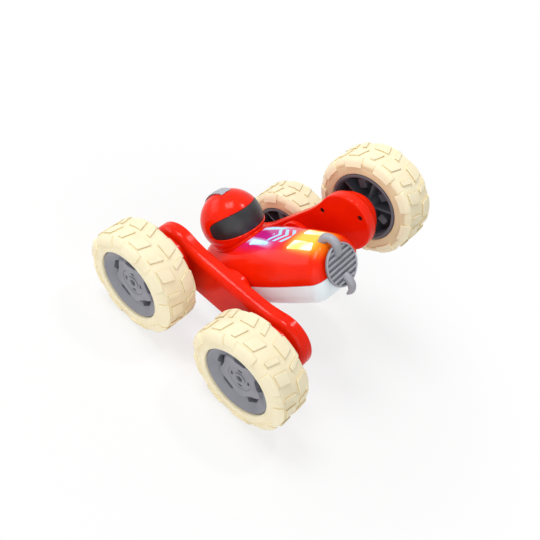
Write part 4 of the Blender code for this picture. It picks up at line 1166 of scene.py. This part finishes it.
def on_helmet(radius, turn, rise):
    """Point on a sphere round the helmet's middle: turn from straight ahead, rise from level."""
    level = radius * cos(rise)
    return HELMET_MIDDLE + Vector((level * sin(turn), -level * cos(turn), radius * sin(rise)))


def visor_point(radius, share, row, spread_by):
    """Point of the visor; share runs from end to end, row from the low edge to the high one."""
    bow = sqrt(1.0 - abs(share) ** 3)
    low = VISOR_BOTTOM * bow - spread_by
    high = VISOR_TOP * (VISOR_END + (1.0 - VISOR_END) * bow) + spread_by
    return on_helmet(radius, share * (VISOR_HALF_SPAN + spread_by), low + (high - low) * row - VISOR_TILT)


def visor_mesh(inner, outer, spread_by):
    def point_at(radius, column, row):
        return visor_point(radius, sin(pi * (column - 0.5)), row, spread_by)
    return patch(point_at, *VISOR_GRID, inner, outer)


def crest_mesh():
    """Strip over the back of the helmet with two long grooves."""
    groove, groove_half, groove_depth = CREST_GROOVE
    fade, fade_depth = CREST_FADE

    def point_at(radius, column, row):
        along = CREST_FRONT + (CREST_BACK - CREST_FRONT) * row
        side = (2 * column - 1) * CREST_HALF_WIDTH
        if radius > HELMET_RADIUS + CREST_THICKNESS / 2:
            dip = max(0.0, 1.0 - abs(abs(2 * column - 1) - groove) / groove_half)
            radius -= groove_depth * dip + fade_depth * max(0.0, fade - min(row, 1.0 - row)) / fade
        x = radius * sin(side)
        ahead = radius * cos(side) * cos(along)
        return HELMET_MIDDLE + Vector((x, -ahead, radius * cos(side) * sin(along)))
    low = HELMET_RADIUS + GAP
    return patch(point_at, *CREST_GRID, low, low + CREST_THICKNESS)


def ball(radius, steps):
    shape = bmesh.new()
    bmesh.ops.create_uvsphere(shape, u_segments=steps, v_segments=steps // 2 + 1, radius=radius)
    bmesh.ops.translate(shape, verts=shape.verts, vec=HELMET_MIDDLE)
    return to_mesh(shape)


def helmet_foot(radius, rise_above):
    """Points where a sphere round the helmet meets the deck."""
    solid = solid_dome(*UPPER)
    shape = bmesh.new()
    shape.from_mesh(solid)
    deck = BVHTree.FromBMesh(shape)
    points = []
    for step in range(FOOT_STEPS):
        turn = tau * step / FOOT_STEPS
        low, high = FOOT_RANGE
        for _ in range(SEARCH_ROUNDS):
            rise = (low + high) / 2
            point = on_helmet(radius, turn, rise)
            hit = deck.ray_cast(Vector((point.x, point.y, 0.1)), Vector((0.0, 0.0, -1.0)))[0]
            if hit is None or point.z > hit.z + rise_above:
                high = rise
            else:
                low = rise
        points.append(on_helmet(radius, turn, high))
    shape.free()
    bpy.data.meshes.remove(solid)
    return points


def helmet_tube(points, radii, steps, loop=False):
    normals = [(point - HELMET_MIDDLE).normalized() for point in points]
    return sweep_tube(points, normals, radii, steps, loop)


def add_helmet(red, visor, grey):
    outside, inside = HELMET_STEPS
    visor_inner = HELMET_RADIUS - VISOR_THICKNESS
    opening = visor_mesh(visor_inner - GAP, HELMET_RADIUS + HELMET_WALL, GAP / HELMET_RADIUS)
    shell = cut(ball(HELMET_RADIUS, outside), solid_dome(*UPPER, grow=GAP),
                ball(HELMET_RADIUS - HELMET_WALL, inside), opening)
    add_body_piece("helmet_moulding", shell, red, "red_plastic", "helmet_shell")
    shield = visor_mesh(visor_inner, HELMET_RADIUS, 0.0)
    add_body_piece("helmet_visor_shield", shield, visor, "visor_plastic", "helmet_visor")
    add_body_piece("helmet_crest_strip", crest_mesh(), grey, "grey_plastic", "helmet_crest")
    shares = [sin(pi * (step / LIP_STEPS - 0.5)) for step in range(LIP_STEPS + 1)]
    edge = [visor_point(HELMET_RADIUS + LIP_LIFT, share, 0.0, LIP_SPREAD) for share in shares]
    radii = [LIP_RADII[0] + LIP_RADII[1] * sqrt(1.0 - share * share) for share in shares]
    add_body_piece("helmet_visor_lip", helmet_tube(edge, radii, LIP_ROUND), red, "red_plastic")
    foot = helmet_foot(HELMET_RADIUS + FOOT_LIFT, FOOT_ABOVE)
    collar = helmet_tube(foot, [FOOT_TUBE] * len(foot), FOOT_ROUND, loop=True)
    add_body_piece("helmet_collar", collar, red, "red_plastic")


# Nose

def smooth_path(knots, steps):
    """Points on a smooth curve through the knots."""
    ends = [2 * knots[0] - knots[1]] + knots + [2 * knots[-1] - knots[-2]]
    points = []
    for before, here, after, last in zip(ends, ends[1:], ends[2:], ends[3:]):
        for step in range(steps):
            t = step / steps
            square = (2 * before - 5 * here + 4 * after - last) * t * t
            cube = (3 * here - before - 3 * after + last) * t ** 3
            points.append(0.5 * (2 * here + (after - before) * t + square + cube))
    return points + [knots[-1]]


def horn_mesh(word, grow=0.0):
    """Bent horn on the nose; the lower one tapers to its free tip."""
    knots = [Vector((0.0, -NOSE_REACH - ahead * MM, height * MM)) for ahead, height in HORN_PATHS[word]]
    points = smooth_path(knots, HORN_STEPS[0])
    last = len(points) - 1
    radii = []
    for here in range(len(points)):
        share = max(0.0, here / last - HORN_TAPER) / (1.0 - HORN_TAPER) if word == "lower" else 0.0
        radii.append(HORN_RADIUS + grow - (HORN_RADIUS - HORN_TIP) * share ** 2)
    return sweep_tube(points, [Vector((1.0, 0.0, 0.0))] * len(points), radii, HORN_STEPS[1])


def grille_mesh():
    """Round dish with level ribs, facing forward."""
    lip = GRILLE_RADIUS - GRILLE_LIP
    back = NOSE_REACH + GAP
    front = GRILLE_FRONT
    floor = front - GRILLE_RECESS
    edge = GRILLE_EDGE
    profile = [(GRILLE_RADIUS - 0.2 * MM, back), (GRILLE_RADIUS, back + 0.2 * MM)]
    for across, up in quarter(EDGE_ARC):
        profile.append((GRILLE_RADIUS - edge * (1.0 - across), front - edge + edge * up))
    profile += [(lip + FINE_EDGE, front), (lip, front - FINE_EDGE), (lip, floor)]
    disc = turned(spindle(profile, DISC_STEPS), pi / 2, "X")
    disc.transform(Matrix.Translation((0.0, 0.0, GRILLE_LIFT)))
    spacing = 2 * lip / (GRILLE_RIBS + 0.5)
    ribs = []
    for number in range(GRILLE_RIBS):
        level = (number - (GRILLE_RIBS - 1) / 2) * spacing
        half = sqrt(lip * lip - level * level) + GRILLE_LIP / 2
        ribs.append(box((-half, -front + GAP / 2, GRILLE_LIFT + level - GRILLE_RIB_HALF),
                        (half, -floor + 1.0 * MM, GRILLE_LIFT + level + GRILLE_RIB_HALF), edge))
    return join(disc, merged(ribs))


def add_nose(grille_finish, horn_finish):
    grille = grille_mesh()
    for word in HORN_PATHS:
        grille = cut(grille, horn_mesh(word, GAP / 2))
        add_body_piece(f"nose_horn_{word}_moulding", horn_mesh(word), horn_finish, "grey_plastic",
                       f"nose_horn_{word}")
    add_body_piece("nose_grille_moulding", grille, grille_finish, "grey_plastic", "nose_grille")


# Inner nodes that stay as they are

def dress_inner_nodes():
    steel = metal("drawn steel", ((0.56, 0.56, 0.57), (0.48, 0.48, 0.50)), (0.28, 0.38))
    brass = metal("turned brass", ((0.76, 0.57, 0.26), (0.68, 0.50, 0.22)), (0.26, 0.36))
    nylon = moulded("natural nylon", ((0.80, 0.79, 0.74), (0.75, 0.73, 0.67)), (0.42, 0.52), own=False)
    black = moulded("black switch plastic", ((0.040, 0.042, 0.048), (0.030, 0.031, 0.036)), (0.38, 0.50),
                    own=False)
    looks = {"drive_motor": steel, "drive_pinion": brass, "bush": brass, "idler_gear": nylon,
             "axle_gear": nylon, "power_switch": black, "circuit_board": circuit_plastic(),
             "battery_pack": battery_film(), "lamp_": lamp_resin()}
    for name, node in frame["nodes"].items():
        for word, finish in looks.items():
            if word in name:
                node.data.materials.clear()
                node.data.materials.append(finish)


# Stage, light and camera

def background_rays(tree):
    """One for the rays that show the background: the camera's, gloss and glass."""
    rays = add_node(tree, "ShaderNodeLightPath")
    seen = maths("MAXIMUM", rays.outputs["Is Camera Ray"], rays.outputs["Is Glossy Ray"])
    return maths("MAXIMUM", seen, rays.outputs["Is Transmission Ray"])


def show_white(tree, share, lit, kind, output):
    """Plain white where the share is one, the lit surface where it is none."""
    plain = add_node(tree, kind, {"Color": WHITE_LIGHT, "Strength": 1.0})
    mix = add_node(tree, "ShaderNodeMixShader", {0: share, 1: lit, 2: plain.outputs[0]})
    tree.links.new(mix.outputs[0], tree.nodes[output].inputs["Surface"])


def add_floor():
    """Pale floor that fades to plain white away from the car and keeps its shadow."""
    shape = bmesh.new()
    bmesh.ops.create_grid(shape, x_segments=1, y_segments=1, size=FLOOR_HALF)
    floor = add_object("floor", to_mesh(shape))
    floor.location.z = CAD_BOX[0][2]
    finish = Finish("pale floor", False, Roughness=0.85, Specular_IOR_Level=0.1)
    finish.set("Base Color", finish.shades(((0.93, 0.93, 0.93), (0.92, 0.92, 0.92)), 3.0))
    tree = finish.tree
    share = spread(length(finish.place), *FLOOR_FADE, FLOOR_WHITE, 1.0)
    show_white(tree, times(background_rays(tree), share), finish.shader.outputs[0],
               "ShaderNodeEmission", "Material Output")
    floor.data.materials.append(finish.material)


def add_world():
    """Even light from all round; the camera, gloss and glass see plain white."""
    world = bpy.data.worlds.new("studio")
    bpy.context.scene.world = world
    world.use_nodes = True
    tree = world.node_tree
    fill = tree.nodes["Background"]
    fill.inputs["Color"].default_value = WHITE_LIGHT
    fill.inputs["Strength"].default_value = EVEN_LIGHT
    show_white(tree, background_rays(tree), fill.outputs[0], "ShaderNodeBackground", "World Output")


def add_softbox(name, place, size, power):
    lamp = bpy.data.lights.new(name, "AREA")
    lamp.shape = "RECTANGLE"
    lamp.size, lamp.size_y = size
    lamp.energy = power
    holder = add_object(name, lamp)
    holder.location = place
    holder.rotation_euler = (Vector(SOFTBOX_AIM) - Vector(place)).to_track_quat("-Z", "Y").to_euler()


def add_camera():
    lens = bpy.data.cameras.new("photo")
    lens.lens = CAMERA_LENS
    lens.sensor_width = CAMERA_SENSOR
    lens.clip_start = CAMERA_NEAR
    holder = add_object("photo", lens)
    holder.location = CAMERA_PLACE
    holder.rotation_euler = [radians(angle) for angle in CAMERA_TURN]
    bpy.context.scene.camera = holder


RED = moulded("glossy red plastic", RED_TONES, (0.15, 0.20), 0.02, Specular_IOR_Level=0.14)
# The white plastic has a faint, even painted glow, which lifts its shade
WHITE = moulded("white plastic", ((0.82, 0.85, 0.89), (0.77, 0.80, 0.84)), (0.34, 0.42), 0.03,
                Specular_IOR_Level=0.3, Emission_Color=(0.70, 0.95, 1.0), Emission_Strength=0.14)
GREY = moulded("satin grey plastic", ((0.27, 0.27, 0.31), (0.235, 0.235, 0.275)), (0.36, 0.46), 0.10)
CREST = moulded("pale grey plastic", ((0.40, 0.41, 0.45), (0.36, 0.37, 0.41)), (0.30, 0.40), 0.06)
HORN = moulded("pale horn plastic", NOSE_TONES, (0.34, 0.44), 0.08)
CHARCOAL = moulded("charcoal plastic", ((0.115, 0.121, 0.145), (0.096, 0.101, 0.122)), (0.38, 0.50), 0.12)
# Screws and axle pins: near black steel, painted shade that makes their holes read dark
SHADE_DARK_STEEL = moulded("shade_darkened steel", ((0.020, 0.020, 0.022), (0.014, 0.014, 0.016)), (0.55, 0.65),
                      Specular_IOR_Level=0.15)
AMBER = window_plastic("amber window", ((1.0, 0.66, 0.12), (1.0, 0.93, 0.72)), 0.45)
BLUE = window_plastic("blue window", ((0.22, 0.66, 1.0), (0.62, 0.86, 1.0)), 0.35)

add_tyres()
add_wheels(CHARCOAL, GREY, SHADE_DARK_STEEL)
add_arms(RED, SHADE_DARK_STEEL)
add_body_shells(deck_plastic(), WHITE, AMBER, BLUE)
add_helmet(RED, visor_plastic(), CREST)
add_nose(grille_plastic(), HORN)
dress_inner_nodes()

add_floor()
add_world()
for NAME, (PLACE, SIZE, POWER) in SOFTBOXES.items():
    add_softbox(NAME, PLACE, SIZE, POWER)
add_camera()
bpy.context.scene.view_settings.view_transform = "Standard"
